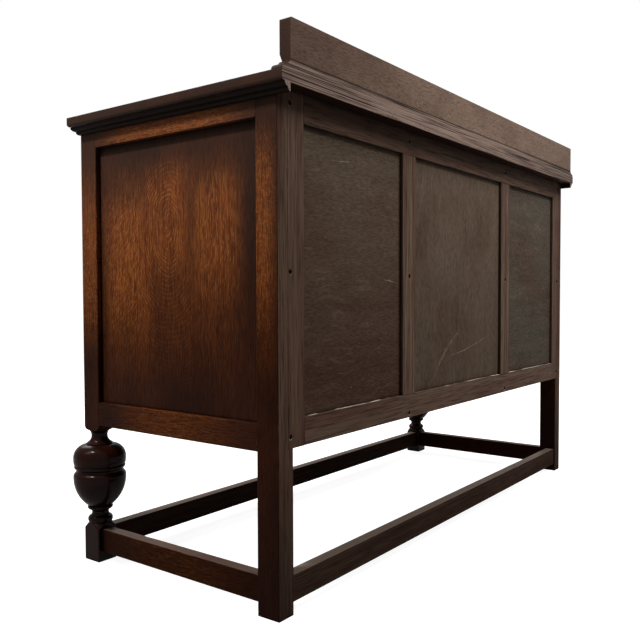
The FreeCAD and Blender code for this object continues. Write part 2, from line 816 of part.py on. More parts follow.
def handle_plate(x, z):
    """Back plate with two ears that hold the pin."""
    ear_x0 = drop_head / 2 + handle_play
    ear_x1 = ear_x0 + ear_thickness
    ear = board(ear_x0, ear_x1, -pin_reach - ear_half, -plate_thickness, -ear_half, ear_half)
    pin = rod(pin_radius, Vector(-ear_x0, -pin_reach, 0), Vector(ear_x0, -pin_reach, 0))
    fittings = [piece.translated(Vector(x, front_y, z)) for piece in (ear, mirrored(ear), pin)]
    return joined(lozenge(plate_width, plate_height, plate_thickness, x, z), *fittings)


def handle_drop(x, z):
    """Flat pear-shaped drop whose square head swings on the pin."""
    head = drop_head / 2
    belly = drop_belly_radius
    belly_z = belly - drop_length
    waist_z = (belly_z - head) / 2
    angles = [math.pi * step / drop_bowl_steps for step in range(drop_bowl_steps + 1)]
    outline = [(head, head), (head, -head), (drop_waist, waist_z)]
    outline += [(belly * math.cos(angle), belly_z - belly * math.sin(angle)) for angle in angles]
    outline += [(-drop_waist, waist_z), (-head, -head), (-head, head)]
    corners = [Vector(across, -pin_reach - drop_thickness / 2, up) for across, up in outline]
    pear = Part.Face(Part.makePolygon(corners + corners[:1])).extrude(Vector(0, drop_thickness, 0))
    pin_end = Vector(belly, -pin_reach, 0)
    bore = rod_hole(pin_radius + handle_play, pin_end - X * 2 * belly, pin_end)
    return cut(pear, bore).translated(Vector(x, front_y, z))


# Hinges of the right door: pin axis and the two heights
hinge_x = inner_x - door_gap / 2
hinge_y = front_y - hinge_pin_reach
hinge_lows = (opening_bottom + hinge_inset, opening_top - hinge_inset - hinge_height)


def leaf_box(low, high, y0, side):
    """A flat of a hinge leaf from y0 back into the wood: side 1 lies on the post, side -1 on the door."""
    inner = hinge_x + side * hinge_play / 2
    outer = inner + side * hinge_leaf
    return (min(inner, outer), max(inner, outer), y0, front_y + hinge_leaf_width, low, high)


def leaf_recess(low, side):
    return mortise(leaf_box(low, low + hinge_height, hinge_y, side))


def hinge_recesses():
    return [leaf_recess(low, 1) for low in hinge_lows]


def hinge_point(height):
    return Vector(hinge_x, hinge_y, height)


def hinge_half(low, side, knuckles):
    """A leaf, the arms that reach out from it and its knuckles."""
    pieces = [board(*leaf_box(low, low + hinge_height, front_y, side))]
    for z0, z1 in knuckles:
        pieces.append(board(*leaf_box(z0, z1, hinge_y, side)))
        pieces.append(rod(hinge_knuckle_radius, hinge_point(z0), hinge_point(z1)))
    return joined(*pieces)


def hinge(low):
    """The post's half, with the pin riveted in its two knuckles, and the door's half that turns on it."""
    third = hinge_height / 3
    high = low + hinge_height
    post_half = hinge_half(low, 1, [(low, low + third), (high - third, high)])
    pin = rod(hinge_pin_radius, hinge_point(low), hinge_point(high))
    door_half = hinge_half(low, -1, [(low + third + knuckle_gap, high - third - knuckle_gap)])
    bore = rod_hole(hinge_pin_radius + hinge_play, hinge_point(low), hinge_point(high))
    return joined(post_half, pin), cut(door_half, bore)


def keyhole(x, z, y0, y1):
    """Round and slot of a keyhole, through from y0 to y1."""
    eye = rod(keyhole_radius, Vector(x, y0, z), Vector(x, y1, z))
    slot = board(x - keyhole_slot / 2, x + keyhole_slot / 2, y0, y1, z - keyhole_drop, z)
    return joined(eye, slot)


def lock_case_box():
    edge_x = bay_outer + door_gap
    back = front_y + door_thickness
    return (edge_x, edge_x + lock_case_width, back - lock_case_thickness, back,
            lock_height - lock_case_height / 2, lock_height + lock_case_height / 2)


def key_plate(x):
    """Plate round the keyhole on the face of the door."""
    plate = lozenge(key_plate_width, key_plate_height, key_plate_thickness, x, lock_height)
    return cut(plate, keyhole(x, lock_height, front_y - key_plate_thickness - 1, front_y + 1))


def make_doors():
    """Right door and its mirror: frame, panel, hinges, handle and lock."""
    free_x = bay_outer + door_gap
    hung_x = inner_x - door_gap
    low = opening_bottom + door_gap
    high = opening_top - door_gap
    back = front_y + door_thickness
    stile_in = free_x + door_member
    stile_out = hung_x - door_member
    key_x = free_x + door_member / 2

    panel = (stile_in - panel_tongue, stile_out + panel_tongue,
             front_y + door_panel_recess, front_y + door_panel_recess + door_panel_thickness,
             low + door_member - panel_tongue, high - door_member + panel_tongue)
    groove = panel_groove(panel, "Y")

    def rail_tenons(z0, z1):
        y0 = front_y + door_panel_recess
        return [(stile_in - frame_tenon, stile_in, y0, y0 + door_panel_thickness, z0, z1),
                (stile_out, stile_out + frame_tenon, y0, y0 + door_panel_thickness, z0, z1)]

    low_tenons = rail_tenons(low + tenon_margin, low + door_member - groove_depth)
    high_tenons = rail_tenons(high - door_member + groove_depth, high - tenon_margin)
    mortises = [mortise(tenon) for tenon in low_tenons + high_tenons]

    def rail(z0, z1, tenons):
        bar = eased(board(stile_in, stile_out, front_y, back, z0, z1), X)
        return cut(joined(bar, *[board(*tenon) for tenon in tenons]), groove)

    lock_stile = eased(board(free_x, stile_in, front_y, back, low, high), Z)
    lock_stile = cut(lock_stile, groove, *mortises, mortise(lock_case_box()),
                     keyhole(key_x, lock_height, front_y - 1, back))
    hung_stile = eased(board(stile_out, hung_x, front_y, back, low, high), Z)
    hung_stile = cut(hung_stile, groove, *mortises, *[leaf_recess(z, -1) for z in hinge_lows])
    frame = [lock_stile, hung_stile, rail(low, low + door_member, low_tenons),
             rail(high - door_member, high, high_tenons)]

    bolt = lock_bolt_box()
    bolt_way = board(*grown(bolt, 2.0, lock_play, lock_play))
    key_way = keyhole(key_x, lock_height, front_y, back - lock_case_thickness / 2)
    lock = [cut(board(*lock_case_box()), bolt_way, key_way), key_plate(key_x)]
    fixed, leaves = zip(*[hinge(z) for z in hinge_lows])

    for side, place in (("right", lambda piece: piece), ("left", mirrored)):
        save(f"door_frame_{side}", *[place(piece) for piece in frame])
        save(f"door_panel_{side}", place(board(*panel)))
        save(f"door_hinge_leaves_{side}", *[place(leaf) for leaf in leaves])
        save(f"door_lock_{side}", *[place(piece) for piece in lock])
        save(f"lock_bolt_{side}", place(board(*bolt)))
        save(f"door_handle_plate_{side}", place(handle_plate(key_x, handle_height)))
        save(f"door_drop_{side}", place(handle_drop(key_x, handle_height)))
    save("post_hinge_leaves", *fixed, *[mirrored(piece) for piece in fixed])


make_legs_and_ends()
make_top()
make_back()
make_inside()
for drawer_name, (opening_low, opening_high) in drawer_openings.items():
    make_drawer(drawer_name, opening_low, opening_high)
make_doors()
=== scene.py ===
"""Oak sideboard on cup-and-cover legs: legs, moulded top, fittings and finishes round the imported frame.

The frame stands on Z = 0 with its front towards -Y. Left and right are as seen from the front.
"""

import math

import bmesh
import bpy
from mathutils import Matrix, Vector


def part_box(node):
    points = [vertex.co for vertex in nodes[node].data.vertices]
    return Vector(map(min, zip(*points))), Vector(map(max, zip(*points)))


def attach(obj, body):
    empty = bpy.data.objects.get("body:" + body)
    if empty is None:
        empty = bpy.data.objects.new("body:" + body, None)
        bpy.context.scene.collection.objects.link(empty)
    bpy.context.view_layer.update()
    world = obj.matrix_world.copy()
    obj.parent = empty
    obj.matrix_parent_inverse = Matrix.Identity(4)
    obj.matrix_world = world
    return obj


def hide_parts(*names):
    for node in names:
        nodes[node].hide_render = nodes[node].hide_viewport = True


bl_info = {
    "name": "Oak Sideboard",
    "version": (1, 0, 0),
    "blender": (4, 5, 0),
    "location": "View3D > Sidebar > Sideboard",
    "description": "Turned legs, moulded top, brass fittings, oak finishes and a studio for a sideboard",
    "category": "Object",
}

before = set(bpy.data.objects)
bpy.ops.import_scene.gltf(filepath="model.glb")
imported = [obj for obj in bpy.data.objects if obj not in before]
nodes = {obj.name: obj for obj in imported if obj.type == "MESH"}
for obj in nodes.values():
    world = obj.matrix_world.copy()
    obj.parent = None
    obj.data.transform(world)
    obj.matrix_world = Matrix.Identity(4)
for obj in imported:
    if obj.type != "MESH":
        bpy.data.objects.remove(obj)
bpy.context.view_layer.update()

MM = 0.001
SIDES = ("right", "left")
DRAWERS = ("bottom_drawer", "middle_drawer", "top_drawer")
# Shares outside a piece's box, for a reach along it that has no start or no end
BEFORE = (-1.0, -0.5)
AFTER = (2.0, 3.0)


def linear(code):
    """An sRGB hex colour as linear red, green, blue and full cover."""
    parts = [int(code[start:start + 2], 16) / 255 for start in (0, 2, 4)]
    return [part / 12.92 if part <= 0.04045 else ((part + 0.055) / 1.055) ** 2.4 for part in parts] + [1.0]


def colour(name, description, code):
    """A colour that a user may change, given as sRGB hex."""
    return bpy.props.FloatVectorProperty(name=name, description=description, default=linear(code),
                                         subtype="COLOR", size=4, min=0, max=1)


def length(name, description, size):
    """A size that a user may change, given in millimetres."""
    return bpy.props.FloatProperty(name=name, description=description, default=size * MM, unit="LENGTH",
                                   min=0, precision=5)


def amount(name, description, value):
    """A number that a user may change."""
    return bpy.props.FloatProperty(name=name, description=description, default=value, min=0)


class LegSizes(bpy.types.PropertyGroup):
    """Sizes of a front leg."""
    post_x: length("Post thickness", "Thickness of the post, along the front", 38)
    post_y: length("Post width", "Width of the post, along the end", 46)
    block: length("Foot block", "Width of the square foot", 44)
    block_height: length("Foot height", "Height of the square foot", 76)
    shoulder: length("Shoulder", "Height of the turning's upper end over the floor", 261)
    shoulder_rise: length("Shoulder rise", "Height over which the lathe cuts off the square's corners", 12)
    arris: length("Worn arris", "Width taken off the square's corners", 1.2)
    facets: bpy.props.IntProperty(name="Facets", description="Faces round a turning", default=96, min=24)


class TopSizes(bpy.types.PropertyGroup):
    """Sizes of the top's edge, the moulding under it and the strip behind it."""
    under_round: length("Under round", "Radius of the top's lower edge", 6)
    upper_round: length("Upper round", "Radius of the top's upper edge", 1.5)
    moulding_reach: length("Moulding reach", "Distance that the moulding stands out from the carcase", 14)
    strip_reach: length("Strip reach", "Distance that the gallery's strip runs past its board", 21)


class FittingSizes(bpy.types.PropertyGroup):
    """Sizes of the brass fittings, the screws and the scratches."""
    plate_width: length("Plate width", "Width of a handle's diamond plate", 34)
    plate_height: length("Plate height", "Height of a handle's diamond plate", 46)
    plate: length("Plate thickness", "Thickness of a handle's plate", 2.5)
    plate_bevel: length("Plate bevel", "Width of the bevel round a handle's plate", 2.4)
    nail: length("Nail head", "Radius of the nails that hold a plate", 1.9)
    nail_drop: length("Nail place", "Distance of a plate's nails from its middle", 16.5)
    pin_reach: length("Pin reach", "Distance of a handle's pin from the wood", 10)
    pin: length("Pin radius", "Radius of a handle's pin", 1.5)
    bore: length("Bore radius", "Radius of the hole in a drop's eye", 1.8)
    eye: length("Eye radius", "Radius of a drop's eye", 3.0)
    eye_width: length("Eye width", "Width of a drop's eye along the pin", 8.8)
    lug: length("Lug thickness", "Thickness of the lugs that hold a pin", 2.4)
    lug_half: length("Lug half height", "Half the height of the lugs that hold a pin", 3)
    drop_length: length("Drop length", "Length of a drop below its pin", 44)
    drop_belly: length("Drop belly", "Greatest radius of a drop", 10)
    screw_head: length("Screw head", "Radius of a back screw's head", 3.9)
    screw_slot: length("Screw slot", "Width of a back screw's slot", 1.1)
    screw_sunk: length("Screw sunk", "Depth of a back screw's head below the wood", 2.4)
    scratch: length("Scratch", "Width of the scratches on the back", 3.4)


class WoodColours(bpy.types.PropertyGroup):
    """Colours of the oak and the other woods."""
    dark: colour("Dark stain", "Stain near the corners and on the frame", "351a0e")
    turned: colour("Turned stain", "Darkest stain, on the turned legs", "290f07")
    # Umber also paints shade: in inner corners, near the floor and on the moulding.
    umber: colour("Umber", "Deepest colour, in the pores and the hollows", "120705")
    amber: colour("Amber", "Rubbed stain in the middle of rails and panels", "703614")
    russet: colour("Russet", "Redder clouds in the rubbed stain", "4f210f")
    ray: colour("Rays", "Pale flecks of ray in the quarter-sawn oak", "a56a36")
    glow: colour("Amber light", "Lightest streaks of the rubbed stain", "935420")
    sawn: colour("Sawn ridges", "Pale ridges of the edge left from the saw", "a08a7d")
    worn: colour("Worn edge", "Wood that shows where the finish has worn off", "8a6a4c")
    # The dust colour also paints a sheen: on faces that look up, and faintly over the upper part.
    dust_and_sheen: colour("Dust", "Dust and rubbing on faces that look up", "8a7a6e")
    ledge: colour("Ledge dust", "Pale dust on the ledge under the back panels", "d8cbbb")
    back: colour("Back oak", "Unpolished oak of the back", "5a4237")
    back_light: colour("Back oak, light", "Lighter grain of the unpolished oak", "7b6857")
    back_dark: colour("Back oak, dark", "Pores and grime of the unpolished oak", "1f1511")
    gallery: colour("Gallery back", "Rubbed brown of the gallery's back", "887061")
    # Back oak, dark also paints the shade in the inner corners of the bare wood.
    near_ply: colour("Plywood, right", "Olive brown of the right back panel", "5f5142")
    centre_ply: colour("Plywood, middle", "Brown of the middle back panel", "69594b")
    far_ply: colour("Plywood, left", "Grey green of the left back panel", "585147")
    rosy: colour("Plywood, rosy", "Reddish stains in the plywood", "4c3027")
    scraped: colour("Scraped plywood", "Pale wood in the scratches of the panels", "9a8872")
    splinter: colour("Scraped oak", "Pale wood in the scratches of the oak", "b3977c")
    bare: colour("Bare wood", "Unfinished wood of drawers and shelves", "8f6d47")
    bare_dark: colour("Bare wood, dark", "Grain and handling marks of the unfinished wood", "5e432b")


class MetalColours(bpy.types.PropertyGroup):
    """Colours of the metals."""
    brass: colour("Brass", "Brass where hands rub it", "a37f44")
    patina: colour("Patina", "Brown tarnish of brass", "4a3519")
    steel: colour("Steel", "Darkened steel of the screws", "241f1c")
    rust: colour("Rust", "Rust on the screws", "35201a")


class StudioSettings(bpy.types.PropertyGroup):
    """Camera and light."""
    lens: amount("Lens", "Focal length in millimetres", 41.96)
    ceiling: amount("Ceiling", "Power of the small lamp overhead in watts", 56)
    end: amount("End", "Power of the lamp towards the right end in watts", 26)
    back: amount("Back", "Power of the lamp over the back in watts", 48)
    front: amount("Front", "Power of the lamp towards the front in watts", 90)
    left: amount("Left", "Power of the lamp towards the left end in watts", 60)
    sky: amount("Room light", "Light from all sides", 0.10)
    floor: colour("Floor", "Floor as it lights the object", "6a6866")
    seen_floor: colour("Seen floor", "Floor as the camera sees it", "a2a2a2")


def add(tree, kind, *inputs, out=0, named=None, **settings):
    """Adds a node with its settings, feeds its inputs in order or by name, and gives back one output."""
    node = tree.nodes.new("ShaderNode" + kind)
    for name, value in settings.items():
        setattr(node, name, value)
    pairs = list(zip([socket for socket in node.inputs if socket.enabled], inputs))
    pairs += [(node.inputs[name], value) for name, value in (named or {}).items()]
    for socket, value in pairs:
        if isinstance(value, bpy.types.NodeSocket):
            tree.links.new(value, socket)
        elif value is not None:
            socket.default_value = value
    shown = {socket.name: socket for socket in node.outputs if socket.enabled}
    return shown[out] if isinstance(out, str) else next(iter(shown.values()), None)


def new_material(name):
    """An empty material and its node tree."""
    material = bpy.data.materials.new(name)
    material.use_nodes = True
    material.node_tree.nodes.clear()
    return material, material.node_tree


def grain_space(tree, axis):
    """Object coordinates turned so that the grain runs along their third axis."""
    place = add(tree, "TexCoord", out="Object")
    if axis == "Z":
        return place
    turn = {"X": "Y_AXIS", "Y": "X_AXIS"}[axis]
    return add(tree, "VectorRotate", place, None, math.pi / 2, rotation_type=turn)


def crossed_grain(tree, axis, other, low, high):
    """Grain along one axis, but along the other one from low to high to either side of the middle."""
    place = add(tree, "SeparateXYZ", add(tree, "TexCoord", out="Object"), out="X")
    aside = add(tree, "Math", place, operation="ABSOLUTE")
    past = add(tree, "Math", aside, low, operation="GREATER_THAN")
    short = add(tree, "Math", aside, high, operation="LESS_THAN")
    within = add(tree, "Math", past, short, operation="MULTIPLY")
    return add(tree, "Mix", within, grain_space(tree, axis), grain_space(tree, other), data_type="VECTOR")


def swayed(tree, grain, size, reach):
    """The grain pushed aside in slow waves, size and reach in millimetres, so that marks lean both ways."""
    wave = add(tree, "TexNoise", grain, 1 / (size * MM), 1.0, 0.5, out="Color")
    push = add(tree, "VectorMath", wave, (0.5, 0.5, 0.5), operation="SUBTRACT")
    far = add(tree, "VectorMath", push, (2 * reach * MM,) * 3, operation="MULTIPLY")
    return add(tree, "VectorMath", grain, far, operation="ADD")


def streaks(tree, grain, across, along, low, high, detail=2.0, shift=0.0):
    """Marks drawn out along the grain, across by along millimetres, from none at low to full at high."""
    scale = (1 / (across * MM), 1 / (across * MM), 1 / (along * MM))
    scaled = add(tree, "Mapping", grain, (shift, shift, shift), None, scale)
    noise = add(tree, "TexNoise", scaled, 1.0, detail, 0.55)
    return add(tree, "MapRange", noise, low, high, interpolation_type="SMOOTHSTEP")


def edges(tree, radius):
    """High along the sharp edges of a piece, within a radius in millimetres."""
    rounded = add(tree, "Bevel", radius * MM, samples=4)
    flat = add(tree, "NewGeometry", out="Normal")
    facing = add(tree, "VectorMath", rounded, flat, operation="DOT_PRODUCT")
    return add(tree, "MapRange", facing, 0.80, 0.97, 1.0, 0.0, interpolation_type="SMOOTHSTEP")


def corners(tree, reach):
    """High in the inner corners and joints, within a reach in millimetres: painted shade, with some dirt in
    the joints, and on brass its patina.
    """
    open_air = add(tree, "AmbientOcclusion", None, reach * MM, out="AO", samples=6)
    return add(tree, "MapRange", open_air, 0.45, 0.95, 1.0, 0.0, interpolation_type="SMOOTHSTEP")


def ramp_between(tree, axis, rise, full, fall, end):
    """Rises from rise to full and goes from fall to end, as shares of the piece's own box along an axis."""
    along = add(tree, "SeparateXYZ", add(tree, "TexCoord", out="Generated"), out=axis)
    coming = add(tree, "MapRange", along, rise, full, interpolation_type="SMOOTHSTEP")
    going = add(tree, "MapRange", along, fall, end, 1.0, 0.0, interpolation_type="SMOOTHSTEP")
    return add(tree, "Math", coming, going, operation="MULTIPLY")


def low_down_shade(tree):
    """Painted shade: high near the floor, darkening the wood over the lowest 340 mm as less light reaches it.
    """
    height = add(tree, "SeparateXYZ", add(tree, "TexCoord", out="Object"), out="Z")
    return add(tree, "MapRange", height, 0.0, 340 * MM, 1.0, 0.0, interpolation_type="SMOOTHSTEP")


def paler_up_high(tree):
    """Painted sheen: high on the upper part of the object, from 420 mm to 800 mm up, which the light from
    above makes paler.
    """
    height = add(tree, "SeparateXYZ", add(tree, "TexCoord", out="Object"), out="Z")
    return add(tree, "MapRange", height, 420 * MM, 800 * MM, interpolation_type="SMOOTHSTEP")


def looking(tree, axis):
    """High on the faces that look along an axis."""
    along = add(tree, "SeparateXYZ", add(tree, "TexCoord", out="Normal"), out=axis)
    return add(tree, "MapRange", along, 0.80, 0.95, interpolation_type="SMOOTHSTEP")


def coats(tree, base, *layers):
    """Lays coats over a base colour; each is a colour, where it lies and its share there."""
    for tint, mask, share in layers:
        cover = add(tree, "Math", mask, share, operation="MULTIPLY")
        base = add(tree, "Mix", cover, base, tint, data_type="RGBA")
    return base


def rays(tree, grain, across, along):
    """Flecks of ray in quarter-sawn oak, which lean to both sides of the grain."""
    leaning = swayed(tree, swayed(tree, grain, 150, 24), 60, 7)
    return streaks(tree, leaning, across, along, 0.50, 0.64, 1.0, 7.9)


# Metres from ring to ring of a wave texture whose scale is 1
RING_UNIT = 2 * math.pi / 20


def eye_figure(tree, grain):
    """Rays of a panel of three boards: slanting in front, rings round an eye in the middle, straight behind.

    Real rays are under 1 mm wide; they are drawn 2 mm wide to show, and the rings stand 5 mm apart.
    """
    low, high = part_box("end_panel_right")
    eye = (0, low.y + 0.47 * (high.y - low.y), low.z + 0.67 * (high.z - low.z))
    about = add(tree, "VectorMath", add(tree, "TexCoord", out="Object"), eye, operation="SUBTRACT")
    oval = add(tree, "VectorMath", swayed(tree, about, 55, 11), (1, 1, 0.58), operation="MULTIPLY")
    wave = add(tree, "TexWave", oval, RING_UNIT / (5 * MM), 4.0, 2.0, 0.25, out="Fac", wave_type="RINGS",
               rings_direction="X")
    crests = add(tree, "MapRange", wave, 0.5, 0.95, interpolation_type="SMOOTHSTEP")
    rings = add(tree, "Math", crests, streaks(tree, grain, 9, 11, 0.40, 0.60), operation="MULTIPLY")
    slanted = add(tree, "VectorRotate", swayed(tree, grain, 90, 9), None, 0.4, rotation_type="X_AXIS")
    boards = ((streaks(tree, slanted, 2.0, 12, 0.50, 0.62, 1.0, 7.9), (*BEFORE, 0.27, 0.32)),
              (rings, (0.27, 0.32, 0.60, 0.66)),
              (rays(tree, grain, 2.0, 22), (0.60, 0.66, *AFTER)))
    shown = 0.0
    for marks, reach in boards:
        board = add(tree, "Math", marks, ramp_between(tree, "Y", *reach), operation="MULTIPLY")
        shown = add(tree, "Math", board, shown)
    return shown


def varnished_oak(name, axis, patches=(), rear=None, stain="dark", gloss=0.30, varnish=0.04, dust_and_sheen=0.0,
                  cross=None, shade_and_grime=6, ray=(3.0, 16), figure=None):
    """Quarter-sawn oak, stained dark, rubbed back to amber in patches and varnished.

    The eye sees dark pores along the grain, pale leaning flecks of ray, an amber glow that fades into
    near-black corners deepened with painted shade, and a soft gloss. The varnish is a thin smooth coat, worn
    to a share of its shine.
    Real pores are 0.3 mm wide and rays under 1 mm; they are drawn 1.7 mm and 2 to 3 mm wide to show.

    A patch is a strength and its reaches for ramp_between, rear gives the colour of the face that looks back,
    cross is for crossed_grain, ray is the width and length of a fleck, and figure draws other flecks.
    """
    wood = bpy.context.scene.sideboard_woods
    material, tree = new_material(name)
    grain = crossed_grain(tree, axis, *cross) if cross else grain_space(tree, axis)
    pores = streaks(tree, grain, 1.7, 24, 0.47, 0.62)
    fibres = streaks(tree, grain, 5.5, 190, 0.36, 0.66, 3.0)
    clouds = streaks(tree, grain, 85, 240, 0.32, 0.70, 3.0, 4.1)
    flecks = figure(tree, grain) if figure else rays(tree, grain, *ray)

    now = coats(tree, getattr(wood, stain), (wood.umber, clouds, 0.55))
    if patches:
        glow = 0.0
        for strength, *reaches in patches:
            patch = strength
            for reach in reaches:
                patch = add(tree, "Math", ramp_between(tree, *reach), patch, operation="MULTIPLY")
            glow = add(tree, "Math", patch, glow, operation="MAXIMUM")
        amber = coats(tree, wood.amber, (wood.russet, clouds, 0.6), (wood.glow, fibres, 0.35),
                      (wood.ray, flecks, 0.45))
        now = coats(tree, now, (amber, glow, 1.0))
    edge = edges(tree, 1.6)
    chips = add(tree, "Math", edge, streaks(tree, grain, 9, 30, 0.52, 0.68, shift=2.7), operation="MULTIPLY")
    # Painted shade in the inner corners and near the floor, a faint painted sheen up high, and worn chips on
    # the edges.
    now = coats(tree, now, (wood.umber, pores, 0.55), (wood.umber, corners(tree, shade_and_grime), 0.85),
                (wood.umber, low_down_shade(tree), 0.45), (wood.dust_and_sheen, paler_up_high(tree), 0.05),
                (wood.worn, chips, 0.55))
    # Faces that look up take dust and a painted sheen of the light from above.
    if dust_and_sheen:
        now = coats(tree, now, (wood.dust_and_sheen, looking(tree, "Z"), dust_and_sheen))
    rough = add(tree, "MapRange", add(tree, "Math", pores, fibres), 0.0, 1.6, gloss, 1.7 * gloss + 0.04)
    height = add(tree, "Math", fibres, pores, operation="SUBTRACT")
    if rear:
        behind = looking(tree, "Y")
        now = add(tree, "Mix", behind, now, rear(tree, grain, edge), data_type="RGBA")
        rough = add(tree, "Mix", behind, rough, 0.8, data_type="FLOAT")
    bump = add(tree, "Bump", 0.3, 0.4 * MM, None, height)
    shader = add(tree, "BsdfPrincipled", named={"Base Color": now, "Roughness": rough, "Normal": bump,
                                                "IOR": 1.5, "Specular IOR Level": 0.005,
                                                "Coat Weight": varnish, "Coat Roughness": gloss})
    add(tree, "OutputMaterial", shader)
    return material


def open_pores(tree, grain):
    """Pores of unpolished oak. Real ones are 0.3 mm wide; they are drawn 2 mm wide to show."""
    return streaks(tree, grain, 2.0, 60, 0.46, 0.70, 3.0, 6.2)


def unpolished(tree, grain, edge, shade_and_grime=8, light=0.5):
    """Colour of oak that never had a finish: grey brown, with dirty pores, rubs and knocked edges, and
    painted shade in its corners and low down.
    """
    wood = bpy.context.scene.sideboard_woods
    pores = open_pores(tree, grain)
    bands = streaks(tree, grain, 9, 420, 0.32, 0.68, 3.0, 1.9)
    stains = streaks(tree, grain, 70, 260, 0.40, 0.68, 3.0, 3.3)
    nicks = add(tree, "Math", streaks(tree, grain, 6, 12, 0.62, 0.70, 1.0, 8.8), edge, operation="MULTIPLY")
    return coats(tree, wood.back, (wood.back_light, bands, light), (wood.rosy, stains, 0.45),
                 (wood.back_dark, pores, 0.62), (wood.back_dark, edge, 0.8),
                 (wood.umber, corners(tree, shade_and_grime), 0.9), (wood.umber, low_down_shade(tree), 0.62),
                 (wood.worn, nicks, 0.9))


def end_grain(tree, grain, edge):
    """Colour of oak cut across: pale, with close dark pores, which are drawn 2 mm wide to show."""
    wood = bpy.context.scene.sideboard_woods
    pores = streaks(tree, grain, 2.0, 2.0, 0.48, 0.66, 2.0, 4.4)
    return coats(tree, wood.sawn, (wood.back_dark, pores, 0.6), (wood.umber, corners(tree, 4), 0.8))


def rubbed_back(tree, grain, edge):
    """Colour of the gallery's back: a thin stain, rubbed pale, redder to the right and dark at the foot.

    Its fine level grain is drawn 1.6 mm wide to show.
    """
    wood = bpy.context.scene.sideboard_woods
    pores = streaks(tree, grain, 1.6, 14, 0.44, 0.68, 3.0, 2.4)
    bands = streaks(tree, grain, 10, 260, 0.34, 0.68, 3.0, 9.1)
    stains = streaks(tree, grain, 60, 160, 0.42, 0.66, 3.0, 5.6)
    right = ramp_between(tree, "X", 0.55, 1.1, *AFTER)
    left = ramp_between(tree, "X", *BEFORE, 0.1, 0.5)
    foot = ramp_between(tree, "Z", *BEFORE, 0.01, 0.06)
    return coats(tree, wood.gallery, (wood.back_light, bands, 0.35), (wood.back, stains, 0.35),
                 (wood.rosy, right, 0.5), (wood.back_dark, left, 0.12), (wood.back_dark, pores, 0.5),
                 (wood.back_dark, edge, 0.5), (wood.umber, foot, 0.9))


def rough_sawn(tree, grain, edge):
    """Colour of an edge left from the saw: ridges and dark cracks along the grain, slanting saw marks."""
    wood = bpy.context.scene.sideboard_woods
    ridges = streaks(tree, grain, 2.6, 170, 0.34, 0.56, 3.0, 5.5)
    cracks = streaks(tree, grain, 2.2, 330, 0.54, 0.62, 2.0, 11.5)
    slant = add(tree, "VectorRotate", grain, None, 0.9, rotation_type="X_AXIS")
    marks = streaks(tree, slant, 3.0, 22, 0.45, 0.62, 1.0, 1.4)
    places = streaks(tree, grain, 60, 240, 0.46, 0.58, 1.0, 14.2)
    patches = add(tree, "Math", marks, places, operation="MULTIPLY")
    left = ramp_between(tree, "X", *BEFORE, 0.1, 0.6)
    return coats(tree, wood.back, (wood.sawn, ridges, 0.80), (wood.sawn, patches, 0.35),
                 (wood.umber, cracks, 0.9), (wood.umber, left, 0.35), (wood.back_dark, edge, 0.5),
                 (wood.umber, corners(tree, 4), 0.9))


def bare_back_oak(name, axis, shade_and_grime=8, light=0.5, dust_and_sheen=0.0):
    """Oak of the back frame, planed and left unpolished: dull grey brown, open pores, and joints darkened
    with painted shade.
    """
    material, tree = new_material(name)
    grain = grain_space(tree, axis)
    pores = open_pores(tree, grain)
    bump = add(tree, "Bump", 0.5, 0.5 * MM, None, pores, invert=True)
    rough = add(tree, "MapRange", pores, 0.0, 1.0, 0.62, 0.85)
    now = unpolished(tree, grain, edges(tree, 2.2), shade_and_grime, light)
    if dust_and_sheen:
        places = streaks(tree, grain, 20, 60, 0.48, 0.62)
        ledge = add(tree, "Math", looking(tree, "Z"), places, operation="MULTIPLY")
        now = coats(tree, now, (bpy.context.scene.sideboard_woods.ledge, ledge, dust_and_sheen))
    shader = add(tree, "BsdfPrincipled", named={"Base Color": now, "Roughness": rough, "Normal": bump,
                                                "Specular IOR Level": 0.04})
    add(tree, "OutputMaterial", shader)
    return material


# Distance from the middle of the back at which the outer sheets of plywood take over from the middle one
SHEET_EDGE = 240 * MM


